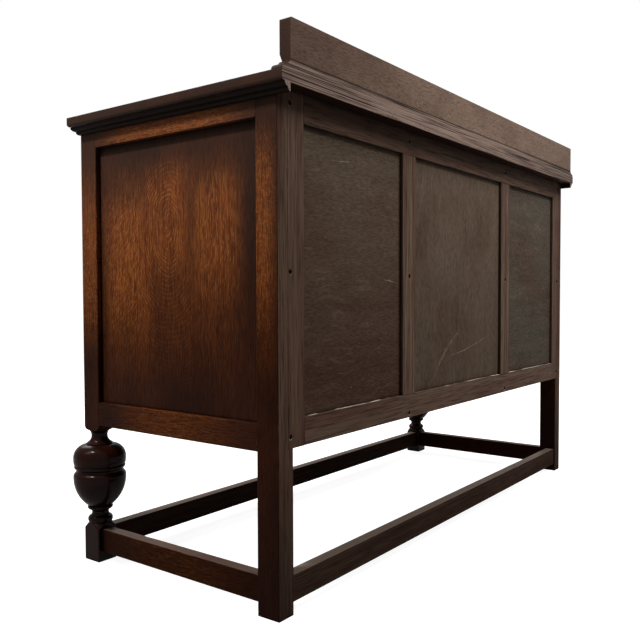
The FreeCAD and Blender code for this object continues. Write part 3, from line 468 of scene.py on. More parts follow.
def plywood():
    """Three sheets of unpolished plywood: fine grain, level on the outer two, broad stains, and painted shade
    in the corners and towards the bottom.

    The fine grain is drawn 1.8 mm wide to show.
    """
    wood = bpy.context.scene.sideboard_woods
    material, tree = new_material("unpolished_plywood")
    x = add(tree, "SeparateXYZ", add(tree, "TexCoord", out="Object"), out="X")
    right = add(tree, "Math", x, SHEET_EDGE, operation="GREATER_THAN")
    left = add(tree, "Math", x, -SHEET_EDGE, operation="LESS_THAN")
    grain = crossed_grain(tree, "Z", "X", SHEET_EDGE, 1.0)
    fine = streaks(tree, grain, 1.8, 12, 0.40, 0.66, 3.0)
    bands = streaks(tree, grain, 30, 420, 0.34, 0.68, 3.0, 5.0)
    stains = streaks(tree, grain, 170, 240, 0.44, 0.66, 3.0, 7.7)
    rubs = streaks(tree, swayed(tree, grain, 120, 30), 14, 90, 0.54, 0.72, 4.0, 3.1)
    specks = streaks(tree, grain, 5, 6, 0.68, 0.74, 2.0, 12.3)
    low = ramp_between(tree, "Z", *BEFORE, 0.0, 1.0)
    foot = add(tree, "Math", low, right, operation="MULTIPLY")
    # The umber towards the bottom and in the corners is painted shade.
    now = coats(tree, wood.centre_ply, (wood.near_ply, right, 1.0), (wood.far_ply, left, 1.0),
                (wood.rosy, foot, 0.75), (wood.rosy, stains, 0.5), (wood.umber, low, 0.28),
                (wood.back_light, bands, 0.15), (wood.back_light, rubs, 0.35), (wood.scraped, specks, 0.25),
                (wood.back_dark, fine, 0.40), (wood.umber, corners(tree, 14), 0.7))
    bump = add(tree, "Bump", 0.15, 0.3 * MM, None, fine)
    rough = add(tree, "MapRange", fine, 0.0, 1.0, 0.66, 0.84)
    shader = add(tree, "BsdfPrincipled", named={"Base Color": now, "Roughness": rough, "Normal": bump,
                                                "Specular IOR Level": 0.04})
    add(tree, "OutputMaterial", shader)
    return material


def scraped(name, pale):
    """Wood laid bare by a scrape: pale broken lines that fade into the brown."""
    wood = bpy.context.scene.sideboard_woods
    material, tree = new_material(name)
    grain = grain_space(tree, "X")
    breaks = streaks(tree, grain, 9, 9, 0.40, 0.62, 3.0)
    now = coats(tree, wood.centre_ply, (pale, breaks, 0.8))
    shader = add(tree, "BsdfPrincipled", named={"Base Color": now, "Roughness": 0.8,
                                                "Specular IOR Level": 0.04})
    add(tree, "OutputMaterial", shader)
    return material


def bare_wood(name, axis):
    """Unfinished softwood: pale brown, darker with age and handling, with painted shade in its inner corners.

    Its fine lines are drawn 2 mm wide to show.
    """
    wood = bpy.context.scene.sideboard_woods
    material, tree = new_material(name)
    grain = grain_space(tree, axis)
    bands = streaks(tree, grain, 9, 380, 0.36, 0.66, 3.0)
    fine = streaks(tree, grain, 2.0, 50, 0.48, 0.72)
    marks = streaks(tree, grain, 140, 220, 0.45, 0.70, 3.0, 2.2)
    now = coats(tree, wood.bare, (wood.bare_dark, bands, 0.45), (wood.bare_dark, fine, 0.35),
                (wood.back, marks, 0.35), (wood.bare_dark, edges(tree, 1.5), 0.5),
                (wood.back_dark, corners(tree, 8), 0.5))
    bump = add(tree, "Bump", 0.2, 0.3 * MM, None, fine)
    rough = add(tree, "MapRange", fine, 0.0, 1.0, 0.60, 0.78)
    shader = add(tree, "BsdfPrincipled", named={"Base Color": now, "Roughness": rough, "Normal": bump,
                                                "Specular IOR Level": 0.25})
    add(tree, "OutputMaterial", shader)
    return material


def aged_brass():
    """Cast brass, once lacquered: warm where it is handled, brown and dull in the corners.

    Its tarnish spots are about 4 mm wide.
    """
    metal = bpy.context.scene.sideboard_metals
    material, tree = new_material("aged_brass")
    place = add(tree, "TexCoord", out="Object")
    spots = add(tree, "TexNoise", place, 1 / (4 * MM), 4.0, 0.6)
    tarnish = add(tree, "MapRange", spots, 0.36, 0.66, interpolation_type="SMOOTHSTEP")
    now = coats(tree, metal.brass, (metal.patina, tarnish, 0.75), (metal.patina, corners(tree, 4), 0.8),
                (metal.brass, edges(tree, 0.8), 0.8))
    rough = add(tree, "MapRange", spots, 0.3, 0.7, 0.28, 0.52)
    bump = add(tree, "Bump", 0.15, 0.2 * MM, None, spots)
    shader = add(tree, "BsdfPrincipled", named={"Base Color": now, "Roughness": rough, "Normal": bump,
                                                "Metallic": 1.0})
    add(tree, "OutputMaterial", shader)
    return material


def dark_steel():
    """Screw steel gone dark: near black, with brown rust in spots about 1.5 mm wide."""
    metal = bpy.context.scene.sideboard_metals
    material, tree = new_material("darkened_steel")
    spots = add(tree, "TexNoise", add(tree, "TexCoord", out="Object"), 1 / (1.5 * MM), 3.0)
    rusty = add(tree, "MapRange", spots, 0.42, 0.62, interpolation_type="SMOOTHSTEP")
    now = coats(tree, metal.steel, (metal.rust, rusty, 1.0))
    rough = add(tree, "MapRange", spots, 0.3, 0.7, 0.45, 0.75)
    shader = add(tree, "BsdfPrincipled", named={"Base Color": now, "Roughness": rough, "Metallic": 0.8})
    add(tree, "OutputMaterial", shader)
    return material


def both(name):
    """Names of the right and the left node of a pair."""
    return [f"{name}_{side}" for side in SIDES]


def assign(material, *names):
    """Gives a material to nodes of the frame."""
    for name in names:
        held = nodes[name].data.materials
        held.clear()
        held.append(material)


class FinishCarcase(bpy.types.Operator):
    """Finishes the varnished oak of the carcase"""
    bl_idname = "sideboard.finish_carcase"
    bl_label = "Finish the carcase"

    def execute(self, context):
        glow = (0.85, ("Z", 0.41, 0.76, 0.83, 0.97), ("Y", *BEFORE, 0.4, 1.15))
        post = varnished_oak("shaded_oak_post", "Z", [glow], rear=unpolished, ray=(2.4, 6), varnish=0.02)
        assign(post, *both("rear_leg"))
        glow = (0.78, ("Y", -0.02, 0.34, 0.66, 1.02))
        assign(varnished_oak("shaded_oak_end_rail", "Y", [glow], ray=(2.0, 8)), *both("end_top_rail"))
        glow = (0.42, ("Y", 0.1, 0.42, 0.56, 0.92))
        assign(varnished_oak("shaded_oak_end_low_rail", "Y", [glow], ray=(2.0, 8)), *both("end_bottom_rail"))
        glow = (0.3, ("Y", 0.05, 0.4, 0.6, 0.95))
        # The stretchers' 25 mm reach of corner darkening paints the shade where they meet the legs; their
        # pale tops are dust with a painted sheen.
        low = varnished_oak("shaded_oak_end_stretcher", "Y", [glow], dust_and_sheen=0.22, shade_and_grime=25, varnish=0.01)
        assign(low, *both("end_stretcher"))
        long = varnished_oak("shaded_oak_stretcher", "X", rear=unpolished, dust_and_sheen=0.45, shade_and_grime=25, varnish=0.01)
        assign(long, "front_stretcher", "rear_stretcher")
        front = varnished_oak("shaded_oak_rail", "X", [(0.4, ("X", 0.1, 0.4, 0.6, 0.9))])
        assign(front, "front_bottom_rail", "front_top_rail", "drawer_rails")
        assign(varnished_oak("polished_oak_gallery", "X", rear=rubbed_back, varnish=0.10), "gallery_board")
        assign(varnished_oak("shaded_oak_partition", "Z"), *both("partition"))
        return {"FINISHED"}


class FinishPanels(bpy.types.Operator):
    """Finishes the end panels, doors and drawer fronts"""
    bl_idname = "sideboard.finish_panels"
    bl_label = "Finish panels and doors"

    def execute(self, context):
        middle = (0.45, ("Y", -0.06, 0.2, 0.75, 0.97), ("Z", 0.0, 0.6, 0.78, 0.95))
        fore = (1.0, ("Y", -0.03, 0.15, 0.30, 0.46), ("Z", 0.05, 0.55, 0.70, 0.88))
        heart = (0.95, ("Y", 0.26, 0.36, 0.52, 0.66), ("Z", 0.36, 0.62, 0.78, 0.95))
        aft = (0.95, ("Y", 0.52, 0.70, 0.79, 0.94), ("Z", 0.25, 0.60, 0.75, 0.91))
        ends = varnished_oak("sunburst_oak_end_panel", "Z", [middle, fore, heart, aft], figure=eye_figure)
        assign(ends, *both("end_panel"))
        glow = (1.0, ("X", 0.06, 0.3, 0.7, 0.94), ("Z", 0.05, 0.35, 0.65, 0.95))
        assign(varnished_oak("sunburst_oak_door_panel", "Z", [glow]), *both("door_panel"))
        glow = (0.95, ("X", 0.03, 0.25, 0.75, 0.97), ("Z", 0.0, 0.4, 0.6, 1.0))
        assign(varnished_oak("sunburst_oak_drawer", "X", [glow]), *[f"{drawer}_front" for drawer in DRAWERS])
        low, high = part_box("door_panel_right")
        tongue = 7 * MM
        rails = ("X", low.x + tongue, high.x - tongue)
        glow = (0.4, ("Z", 0.15, 0.45, 0.55, 0.85))
        assign(varnished_oak("shaded_oak_door_frame", "Z", [glow], cross=rails), *both("door_frame"))
        return {"FINISHED"}


class FinishBack(bpy.types.Operator):
    """Finishes the back frame and its plywood panels"""
    bl_idname = "sideboard.finish_back"
    bl_label = "Finish the back"

    def execute(self, context):
        assign(bare_back_oak("unpolished_oak_stile", "Z", light=0.4), "back_stiles")
        assign(bare_back_oak("unpolished_oak_muntin", "Z", light=1.0), "back_muntins")
        assign(bare_back_oak("unpolished_oak_rail", "X", dust_and_sheen=0.7), "back_bottom_rail")
        # The 45 mm reach of corner darkening paints the shadow that the top's overhang casts on this rail.
        assign(bare_back_oak("unpolished_oak_top_rail", "X", shade_and_grime=45), "back_top_rail")
        assign(plywood(), "back_panels")
        return {"FINISHED"}


class FinishInside(bpy.types.Operator):
    """Finishes the bare wood inside the carcase"""
    bl_idname = "sideboard.finish_inside"
    bl_label = "Finish the inside"

    def execute(self, context):
        assign(bare_wood("bare_wood_boards", "X"), "carcase_floor", "shelves", "battens")
        boxes = [f"{drawer}_box" for drawer in DRAWERS]
        assign(bare_wood("bare_wood_runners", "Y"), "drawer_runners", *boxes)
        return {"FINISHED"}


def skin(mesh, rings, closed=False):
    """Faces round a stack of rings of equal count, with flat ends or closed on itself."""
    loops = [[mesh.verts.new(point) for point in ring] for ring in rings]
    pairs = list(zip(loops, loops[1:]))
    if closed:
        pairs.append((loops[-1], loops[0]))
    else:
        mesh.faces.new(loops[0][::-1])
        mesh.faces.new(loops[-1])
    for lower, upper in pairs:
        for index in range(len(lower)):
            after = (index + 1) % len(lower)
            mesh.faces.new((lower[index], lower[after], upper[after], upper[index]))


def turned(mesh, centre, axis, profile, closed=False, sides=28):
    """A round form on an axis from pairs of distance along it and radius."""
    axis = Vector(axis)
    across = axis.orthogonal().normalized()
    deep = axis.cross(across)
    angles = [2 * math.pi * index / sides for index in range(sides)]
    ways = [across * math.cos(angle) + deep * math.sin(angle) for angle in angles]
    skin(mesh, [[centre + axis * along + way * radius for way in ways] for along, radius in profile], closed)


# Faces from this area up, in square metres, stay flat
BROAD = 0.004


def finished(mesh, name, smooth_angle=32):
    """A mesh as an object in the scene, smooth except over its sharp edges and on its broad faces."""
    bmesh.ops.remove_doubles(mesh, verts=mesh.verts, dist=1e-6)
    bmesh.ops.recalc_face_normals(mesh, faces=mesh.faces)
    data = bpy.data.meshes.new(name)
    mesh.to_mesh(data)
    mesh.free()
    data.polygons.foreach_set("use_smooth", [face.area < BROAD for face in data.polygons])
    data.set_sharp_from_angle(angle=math.radians(smooth_angle))
    piece = bpy.data.objects.new(name, data)
    bpy.context.scene.collection.objects.link(piece)
    return piece


def mount(piece, material, body, slot, *replaced):
    """Gives a piece its finish and its body, and hides the nodes that it stands for. Its slot is not used."""
    piece.data.materials.append(material)
    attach(piece, body)
    for node in replaced:
        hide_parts(node)


def arc(start, finish, bulge, steps):
    """Points from start up to finish, which is left out, on an arc that bulges by a share of the chord."""
    start = Vector(start)
    chord = Vector(finish) - start
    if bulge == 0:
        return [start]
    side = Vector((-chord.y, chord.x))
    if side.x < 0:
        side = -side
    half_turn = 2 * math.atan(2 * abs(bulge))
    radius = 1 / (2 * math.sin(half_turn))
    points = []
    for index in range(steps):
        angle = half_turn * (2 * index / steps - 1)
        lift = (math.cos(angle) - math.cos(half_turn)) * radius
        points.append(start + chord * (0.5 + math.sin(angle) * radius) + side * math.copysign(lift, bulge))
    return points


# Section of the moulding under the top: reach from the carcase and depth below the top in millimetres, and
# bulge towards the next point
MOULDING_MEMBERS = ((14.0, 0.0, 0.14), (7.6, 7.4, 0), (6.0, 7.4, 0.24), (0.8, 14.0, 0), (0.0, 14.0, 0))
# Right end of the gallery's strip: reach past the board and height over the top in millimetres, and bulge
STRIP_MEMBERS = ((21.0, 0.0, 0), (21.0, 0.8, 0.08), (15.0, 7.0, -0.1), (0.0, 15.5, 0))
# Steps along the round stretches of a section, and angles round the quarter turn of a rounded edge
ROUND_STEPS = 6
QUARTER = [math.pi / 2 * index / ROUND_STEPS for index in range(ROUND_STEPS + 1)]


def section(members):
    """Points along a section's members, in metres."""
    points = []
    for member, following in zip(members, members[1:]):
        points += arc(member[:2], following[:2], member[2], ROUND_STEPS)
    points.append(Vector(members[-1][:2]))
    return [point * MM for point in points]


def top_plank(sizes):
    """The top board, rounded under and eased above at the front and ends, square behind."""
    low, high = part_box("top_board")
    under = sizes.under_round
    upper = sizes.upper_round
    insets = [(under * (1 - math.sin(turn)), low.z + under * (1 - math.cos(turn))) for turn in QUARTER]
    insets += [(upper * (1 - math.cos(turn)), high.z - upper * (1 - math.sin(turn))) for turn in QUARTER]
    rings = []
    for inset, height in insets:
        right = high.x - inset
        front = low.y + inset
        rings.append([(right, high.y, height), (right, front, height), (-right, front, height),
                      (-right, high.y, height)])
    mesh = bmesh.new()
    skin(mesh, rings)
    return finished(mesh, "moulded_top_board")


def top_moulding(sizes):
    """The moulding round the front and ends under the top: an ovolo over a bead, mitred at the corners."""
    low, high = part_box("top_moulding")
    end_x = high.x - sizes.moulding_reach
    front_y = low.y + sizes.moulding_reach
    outline = [(0.0, 0.0)] + [(out, down) for out, down in section(MOULDING_MEMBERS)]
    rings = []
    for side, corner in ((1, False), (1, True), (-1, True), (-1, False)):
        rings.append([(side * (end_x + out), front_y - out if corner else high.y, high.z - down)
                      for out, down in outline])
    mesh = bmesh.new()
    skin(mesh, rings)
    return finished(mesh, "ovolo_top_moulding")


def gallery_strip(sizes):
    """The strip under the gallery's board, rounded and hollowed at both ends."""
    low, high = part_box("gallery_strip")
    side_x = high.x - sizes.strip_reach
    end = [(side_x + out, low.z + up) for out, up in section(STRIP_MEMBERS)]
    outline = end + [(-x, z) for x, z in reversed(end)]
    mesh = bmesh.new()
    skin(mesh, [[(x, y, z) for x, z in outline] for y in (low.y, high.y)])
    return finished(mesh, "hollowed_gallery_strip")


class ShapeTop(bpy.types.Operator):
    """Shapes the top board, the moulding under it and the gallery's strip"""
    bl_idname = "sideboard.shape_top"
    bl_label = "Shape the top"

    def execute(self, context):
        sizes = context.scene.sideboard_top
        glow = (0.45, ("X", 0.02, 0.3, 0.7, 0.98), ("Y", 0.0, 0.3, 0.6, 0.9))
        plank = varnished_oak("polished_oak_top", "X", [glow], rear=rough_sawn, varnish=0.10)
        mount(top_plank(sizes), plank, "carcase", "dark_oak", "top_board")
        ends = ("Y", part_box("rear_leg_right")[1].x, 1.0)
        # The near-black umber stain and the corner darkening paint the shade in the moulding's hollows under
        # the top.
        moulding = varnished_oak("polished_oak_moulding", "X", rear=end_grain, stain="umber", cross=ends,
                                 shade_and_grime=7)
        mount(top_moulding(sizes), moulding, "carcase", "dark_oak", "top_moulding")
        strip = varnished_oak("polished_oak_strip", "X", rear=rough_sawn, varnish=0.10)
        mount(gallery_strip(sizes), strip, "carcase", "dark_oak", "gallery_strip")
        return {"FINISHED"}


# Members of the turning from the top down: radius and height over the foot block in millimetres, and bulge
LEG_MEMBERS = ((20.0, 185.0, -0.25), (24.2, 160.0, 0.36), (24.2, 156.6, 0), (27.0, 156.6, 0.21),
               (51.3, 128.0, 0.05), (50.0, 117.4, 0), (48.4, 115.8, 0.26), (47.4, 108.4, 0),
               (46.0, 106.4, -0.12), (48.0, 100.4, 0.12), (51.3, 92.0, 0.119), (23.0, 33.5, 0.30),
               (21.5, 26.0, -0.37), (21.5, 12.0, 0.23), (21.5, 0.0, 0))
# Steps round a bell at a square's end and along a member, more where its radius changes far, in millimetres
BELL_STEPS = 8
MEMBER_STEPS = 8
LONG_STEPS = 14
LONG_CHANGE = 20


def square_reach(half, angle, arris):
    """Distance from a square's middle to its outline, with the corners taken off by the arris."""
    across = abs(math.cos(angle))
    deep = abs(math.sin(angle))
    flats = [half[0] / max(across, 1e-9), half[1] / max(deep, 1e-9)]
    return min(*flats, (half[0] + half[1] - arris) / (across + deep))


def corner_angles(half, arris):
    """Directions of the eight corners of a square with its arrises taken off."""
    flat = (math.atan2(half[1] - arris, half[0]), math.atan2(half[1], half[0] - arris))
    quarters = ((0, 1), (math.pi, -1), (math.pi, 1), (0, -1))
    return [turn + sign * angle for angle in flat for turn, sign in quarters]


def leg_rings(sizes, top):
    """Rings of a leg from the top down: height, half sizes of the square or None, and greatest radius."""
    post = (sizes.post_x / 2, sizes.post_y / 2)
    block = (sizes.block / 2, sizes.block / 2)
    neck = LEG_MEMBERS[0][0] * MM
    foot = LEG_MEMBERS[-1][0] * MM
    turns = [math.pi / 2 * index / BELL_STEPS for index in range(BELL_STEPS + 1)]
    reach = math.hypot(*post)
    rings = [(top, post, reach)]
    rings += [(sizes.shoulder + sizes.shoulder_rise * (1 - math.sin(turn)), post,
               neck + (reach - neck) * math.cos(turn)) for turn in turns]
    for member, following in zip(LEG_MEMBERS, LEG_MEMBERS[1:]):
        steps = LONG_STEPS if abs(member[0] - following[0]) > LONG_CHANGE else MEMBER_STEPS
        for radius, height in arc(member[:2], following[:2], member[2], steps):
            rings.append((sizes.block_height + height * MM, None, radius * MM))
    rings.append((sizes.block_height, None, foot))
    reach = math.hypot(*block)
    rings += [(sizes.block_height - sizes.shoulder_rise * (1 - math.cos(turn)), block,
               reach - (reach - foot) * math.cos(turn)) for turn in turns]
    worn = (block[0] - sizes.arris, block[1] - sizes.arris)
    return rings + [(sizes.arris, block, reach), (0.0, worn, reach)]


def front_leg(side):
    """Square post, turning and square foot in one skin of rings round the leg's axis."""
    sizes = bpy.context.scene.sideboard_leg
    low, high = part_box(f"front_leg_{side}")
    axis = (low + high) / 2
    angles = [2 * math.pi * index / sizes.facets for index in range(sizes.facets)]
    for half in ((sizes.post_x / 2, sizes.post_y / 2), (sizes.block / 2, sizes.block / 2)):
        angles += [angle % (2 * math.pi) for angle in corner_angles(half, sizes.arris)]
    angles = sorted(set(round(angle, 5) for angle in angles))
    rings = []
    for height, half, radius in leg_rings(sizes, high.z):
        outs = [min(radius, square_reach(half, angle, sizes.arris)) if half else radius for angle in angles]
        rings.append([(axis.x + out * math.cos(angle), axis.y + out * math.sin(angle), height)
                      for out, angle in zip(outs, angles)])
    mesh = bmesh.new()
    skin(mesh, rings)
    return finished(mesh, f"turned_leg_{side}")


class TurnLegs(bpy.types.Operator):
    """Turns the two front legs"""
    bl_idname = "sideboard.turn_legs"
    bl_label = "Turn the front legs"

    def execute(self, context):
        shoulder = context.scene.sideboard_leg.shoulder
        glow = (0.75, ("Z", 0.45, 0.64, 0.74, 0.95))
        post = varnished_oak("shaded_oak_front_post", "Z", [glow], ray=(2.4, 6))
        # The 30 mm reach of corner darkening paints the shade under the post and between the members of the
        # turning.
        turning = varnished_oak("shaded_oak_turned", "Z", stain="turned", gloss=0.17, varnish=0.08, shade_and_grime=30)
        for side in SIDES:
            leg = front_leg(side)
            mount(leg, post, "carcase", "dark_oak", f"front_leg_{side}")
            leg.data.materials.append(turning)
            for face in leg.data.polygons:
                face.material_index = int(face.center.z < shoulder)
        return {"FINISHED"}


def islands(name):
    """Boxes of the separate solids in a node, as lowest and highest corners."""
    mesh = bmesh.new()
    mesh.from_mesh(nodes[name].data)
    bmesh.ops.remove_doubles(mesh, verts=mesh.verts, dist=1e-5)
    left = set(mesh.verts)
    boxes = []
    while left:
        group = set()
        ends = [left.pop()]
        while ends:
            spot = ends.pop()
            group.add(spot)
            near = {edge.other_vert(spot) for edge in spot.link_edges} & left
            left -= near
            ends += near
        boxes.append([Vector([pick(spot.co[axis] for spot in group) for axis in range(3)])
                      for pick in (min, max)])
    mesh.free()
    return boxes


# Share to which the sides of a handle's plate are hollowed in their middle
PLATE_HOLLOW = 0.68


def diamond(middle, sizes, inset, out):
    """Outline of a handle's plate, taken in by an inset and lifted out from the wood."""
    half = Vector((sizes.plate_width / 2 - inset, 0, sizes.plate_height / 2 - inset))
    points = []
    for index in range(8):
        angle = math.pi / 4 * index
        pull = 1.0 if index % 2 == 0 else PLATE_HOLLOW
        across = half.x * math.cos(angle) * pull
        points.append(middle + Vector((across, -out, half.z * math.sin(angle) * pull)))
    return points


def handle_plate(name):
    """Diamond plate with hollow sides and a bevel, two nails, two round-ended lugs and the pin."""
    sizes = bpy.context.scene.sideboard_fittings
    low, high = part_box(name)
    middle = Vector(((low.x + high.x) / 2, high.y, (low.z + high.z) / 2))
    mesh = bmesh.new()
    outlines = ((0, 0), (0, 0.5 * sizes.plate), (sizes.plate_bevel, sizes.plate))
    skin(mesh, [diamond(middle, sizes, inset, out) for inset, out in outlines])
    face = middle - Vector((0, sizes.plate, 0))
    rise = 1.0 * MM
    dome = [(-0.2 * rise, sizes.nail), (0.4 * rise, sizes.nail), (0.9 * rise, 0.6 * sizes.nail),
            (rise, 0.1 * MM)]
    for up in (sizes.nail_drop, -sizes.nail_drop):
        turned(mesh, face + Vector((0, 0, up)), (0, -1, 0), dome, sides=14)
    pin = middle - Vector((0, sizes.pin_reach, 0))
    half = sizes.lug_half
    foot = sizes.plate * 0.8
    turns = [math.pi * (index / 10 - 0.5) for index in range(11)]
    outline = [(foot, -half)]
    outline += [(sizes.pin_reach + half * math.cos(turn), half * math.sin(turn)) for turn in turns]
    outline.append((foot, half))
    play = 0.4 * MM
    inner = sizes.eye_width / 2 + play
    for side in (1, -1):
        skin(mesh, [[middle + Vector((side * x, -out, up)) for out, up in outline]
                    for x in (inner, inner + sizes.lug)])
    proud = 0.6 * MM
    ease = 0.4 * MM
    reach = inner + sizes.lug + proud
    tip = 0.7 * sizes.pin
    rod = [(-reach, tip), (ease - reach, sizes.pin), (reach - ease, sizes.pin), (reach, tip)]
    turned(mesh, pin, (1, 0, 0), rod, sides=16)
    return finished(mesh, f"{name}_cast")


# Half widths of a drop from its eye down, as shares of its belly, and heights as shares of its length
DROP_OUTLINE = ((0.26, 0.05), (0.24, 0.12), (0.27, 0.20), (0.36, 0.30), (0.52, 0.42), (0.74, 0.55),
                (0.93, 0.67), (1.0, 0.77), (0.96, 0.86), (0.78, 0.935), (0.45, 0.985), (0.06, 1.0))
DROP_SIDES = 24


def handle_drop(name):
    """Flattened pear of cast brass below a bored eye that turns on the pin."""
    sizes = bpy.context.scene.sideboard_fittings
    low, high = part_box(name)
    pin = Vector(((low.x + high.x) / 2, (low.y + high.y) / 2, low.z + sizes.drop_length))
    thick = (high.y - low.y) / 2
    mesh = bmesh.new()
    half = sizes.eye_width / 2
    ease = 0.6 * MM
    eye = [(-half, sizes.bore), (-half, sizes.eye - ease), (ease - half, sizes.eye), (half - ease, sizes.eye),
           (half, sizes.eye - ease), (half, sizes.bore)]
    turned(mesh, pin, (1, 0, 0), eye, closed=True)
    rings = []
    angles = [2 * math.pi * index / DROP_SIDES for index in range(DROP_SIDES)]
    for wide, down in DROP_OUTLINE:
        across = wide * sizes.drop_belly
        deep = min(across, thick * (0.5 + 0.48 * wide))
        centre = pin - Vector((0, 0, down * sizes.drop_length))
        rings.append([centre + Vector((across * math.cos(angle), deep * math.sin(angle), 0))
                      for angle in angles])
    skin(mesh, rings)
    return finished(mesh, f"{name}_cast", 40)


class HangHandles(bpy.types.Operator):
    """Makes the plates and drops of the handles"""
    bl_idname = "sideboard.hang_handles"
    bl_label = "Hang the handles"

    def execute(self, context):
        brass = bpy.data.materials["aged_brass"]
        sets = [(f"door_handle_plate_{side}", f"door_{side}", f"door_drop_{side}", f"drop_{side}")
                for side in SIDES]
        sets += [(f"{drawer}_handle_plate", drawer, f"{drawer}_drop", f"{drawer}_handle")
                 for drawer in DRAWERS]
        for plate, body, drop, swinging in sets:
            mount(handle_plate(plate), brass, body, "brass", plate)
            mount(handle_drop(drop), brass, swinging, "brass", drop)
        return {"FINISHED"}


class FinishFittings(bpy.types.Operator):
    """Finishes the brass of the hinges, locks and bolts"""
    bl_idname = "sideboard.finish_fittings"
    bl_label = "Finish the fittings"

    def execute(self, context):
        pairs = both("door_hinge_leaves") + both("door_lock") + both("lock_bolt")
        assign(aged_brass(), "post_hinge_leaves", *pairs)
        return {"FINISHED"}


# Radius of a back screw's shank and length of its point
SHANK = 1.9 * MM
SHANK_POINT = 8 * MM


class DriveScrews(bpy.types.Operator):
    """Makes the slotted screws that hold the back"""
    bl_idname = "sideboard.drive_screws"
    bl_label = "Drive the back screws"

    def execute(self, context):
        sizes = context.scene.sideboard_fittings
        mesh = bmesh.new()
        back_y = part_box("back_stiles")[1].y
        for index, (low, high) in enumerate(islands("back_screws")):
            centre = Vector(((low.x + high.x) / 2, back_y - sizes.screw_sunk, (low.z + high.z) / 2))
            self.head(mesh, centre, sizes, turn=2.4 * index)
            tip = low.y - centre.y
            shank = [(tip, 0.3 * MM), (tip + SHANK_POINT, SHANK), (-1.2 * MM, SHANK)]
            turned(mesh, centre, (0, 1, 0), shank, sides=12)
        mount(finished(mesh, "slotted_back_screws"), dark_steel(), "carcase", "steel", "back_screws")
        return {"FINISHED"}

    def head(self, mesh, centre, sizes, turn):
        """Two half rounds on a disc, with the slot left open between them."""
        radius = sizes.screw_head
        slot_floor = -0.7 * MM
        disc = [(-1.6 * MM, SHANK), (-1.0 * MM, radius), (slot_floor, radius)]
        turned(mesh, centre, (0, 1, 0), disc, sides=24)
        gap = math.asin(sizes.screw_slot / 2 / radius)
        for start in (turn, turn + math.pi):
            angles = [start + gap + (math.pi - 2 * gap) * index / 12 for index in range(13)]
            rings = []
            for up, reach in ((slot_floor, radius), (-0.2 * MM, radius), (0.0, radius - 0.5 * MM)):
                rings.append([centre + Vector((reach * math.cos(angle), up, reach * math.sin(angle)))
                              for angle in angles])
            skin(mesh, rings)


# Scratches on the back: plane, share of the full width, places as across and up in millimetres
SCRATCHES = (("back_panels", 0.9, ((-1, 449), (59, 415), (97, 384), (133, 342))),
             ("back_panels", 0.7, ((-168, 430), (-87, 412), (-22, 399), (58, 391))),
             ("back_panels", 0.5, ((4, 441), (62, 407), (104, 372), (128, 338))),
             ("back_panels", 0.6, ((99, 742), (93, 736), (84, 733))),
             ("back_panels", 0.6, ((92, 722), (83, 716))),
             ("back_panels", 0.5, ((96, 706), (88, 703), (79, 704))),
             ("back_panels", 0.6, ((80, 690), (68, 682))),
             ("back_panels", 1.2, ((-50, 470), (-46, 466))),
             ("back_panels", 0.6, ((337, 560), (310, 557), (284, 553))),
             ("back_panels", 0.5, ((508, 766), (470, 769), (433, 773))),
             ("gallery_board", 0.9, ((265, 931), (263, 913), (261, 897))),
             ("gallery_board", 0.6, ((146, 938), (146, 909))),
             ("gallery_board", 0.5, ((150, 911), (122, 910), (95, 910))),
             ("gallery_board", 1.4, ((224, 937), (223, 933))),
             ("gallery_board", 1.2, ((220, 912), (219, 909))),
             ("gallery_board", 1.2, ((664, 937), (663, 933))),
             ("gallery_board", 0.8, ((596, 918), (594, 910))),
             ("gallery_board", 1.0, ((-603, 913), (-602, 909))))


class MarkBack(bpy.types.Operator):
    """Draws the scratches and nicks on the back"""
    bl_idname = "sideboard.mark_back"
    bl_label = "Mark the back"

    def execute(self, context):
        width = context.scene.sideboard_fittings.scratch
        woods = context.scene.sideboard_woods
        oak = scraped("scraped_oak", woods.splinter)
        planes = (("back_panels", "back_plywood", scraped("scraped_plywood", woods.scraped)),
                  ("gallery_board", "dark_oak", oak))
        for plane, slot, material in planes:
            mesh = bmesh.new()
            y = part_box(plane)[1].y
            for held, share, places in SCRATCHES:
                if held == plane:
                    self.scrape(mesh, [Vector((x * MM, y, z * MM)) for x, z in places], share * width)
            mount(finished(mesh, f"{plane}_scratches"), material, "carcase", slot)
        # Pale crescents under the screw holes: painted light on their lower lips.
        mesh = bmesh.new()
        for low, high in islands("back_screws"):
            self.lip(mesh, Vector(((low.x + high.x) / 2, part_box("back_stiles")[1].y, (low.z + high.z) / 2)))
        mount(finished(mesh, "crushed_screw_lips"), oak, "carcase", "back_oak")
        return {"FINISHED"}

    def lip(self, mesh, centre):
        """A pale crescent under a screw's hole, widest below and just proud of the face: painted light on the
        hole's lower lip, in the colour of bare wood.
        """
        hole = 4.6 * MM
        proud = Vector((0, 0.15 * MM, 0))
        sunk = Vector((0, 0.2 * MM, 0))
        rings = []
        for index in range(13):
            turn = math.pi * (1.08 + 0.84 * index / 12)
            way = Vector((math.cos(turn), 0, math.sin(turn)))
            width = 0.2 * MM + 1.5 * MM * math.sin(math.pi * index / 12)
            middle = centre + way * (hole + width / 2)
            rings.append([centre + way * hole, middle + proud, centre + way * (hole + width), middle - sunk])
        skin(mesh, rings)

    def scrape(self, mesh, points, width):
        """A thin lens along a line: widest in its middle, narrow at its ends and just proud of the face."""
        proud = Vector((0, 0.12 * MM, 0))
        sunk = Vector((0, 0.2 * MM, 0))
        rings = []
        for index, point in enumerate(points):
            before = points[max(index - 1, 0)]
            after = points[min(index + 1, len(points) - 1)]
            side = (after - before).cross(Vector((0, 1, 0))).normalized()
            share = index / (len(points) - 1)
            half = width / 2 * max(0.25, 1 - abs(2 * share - 1))
            rings.append([point - side * half, point + proud, point + side * half, point - sunk])
        skin(mesh, rings)


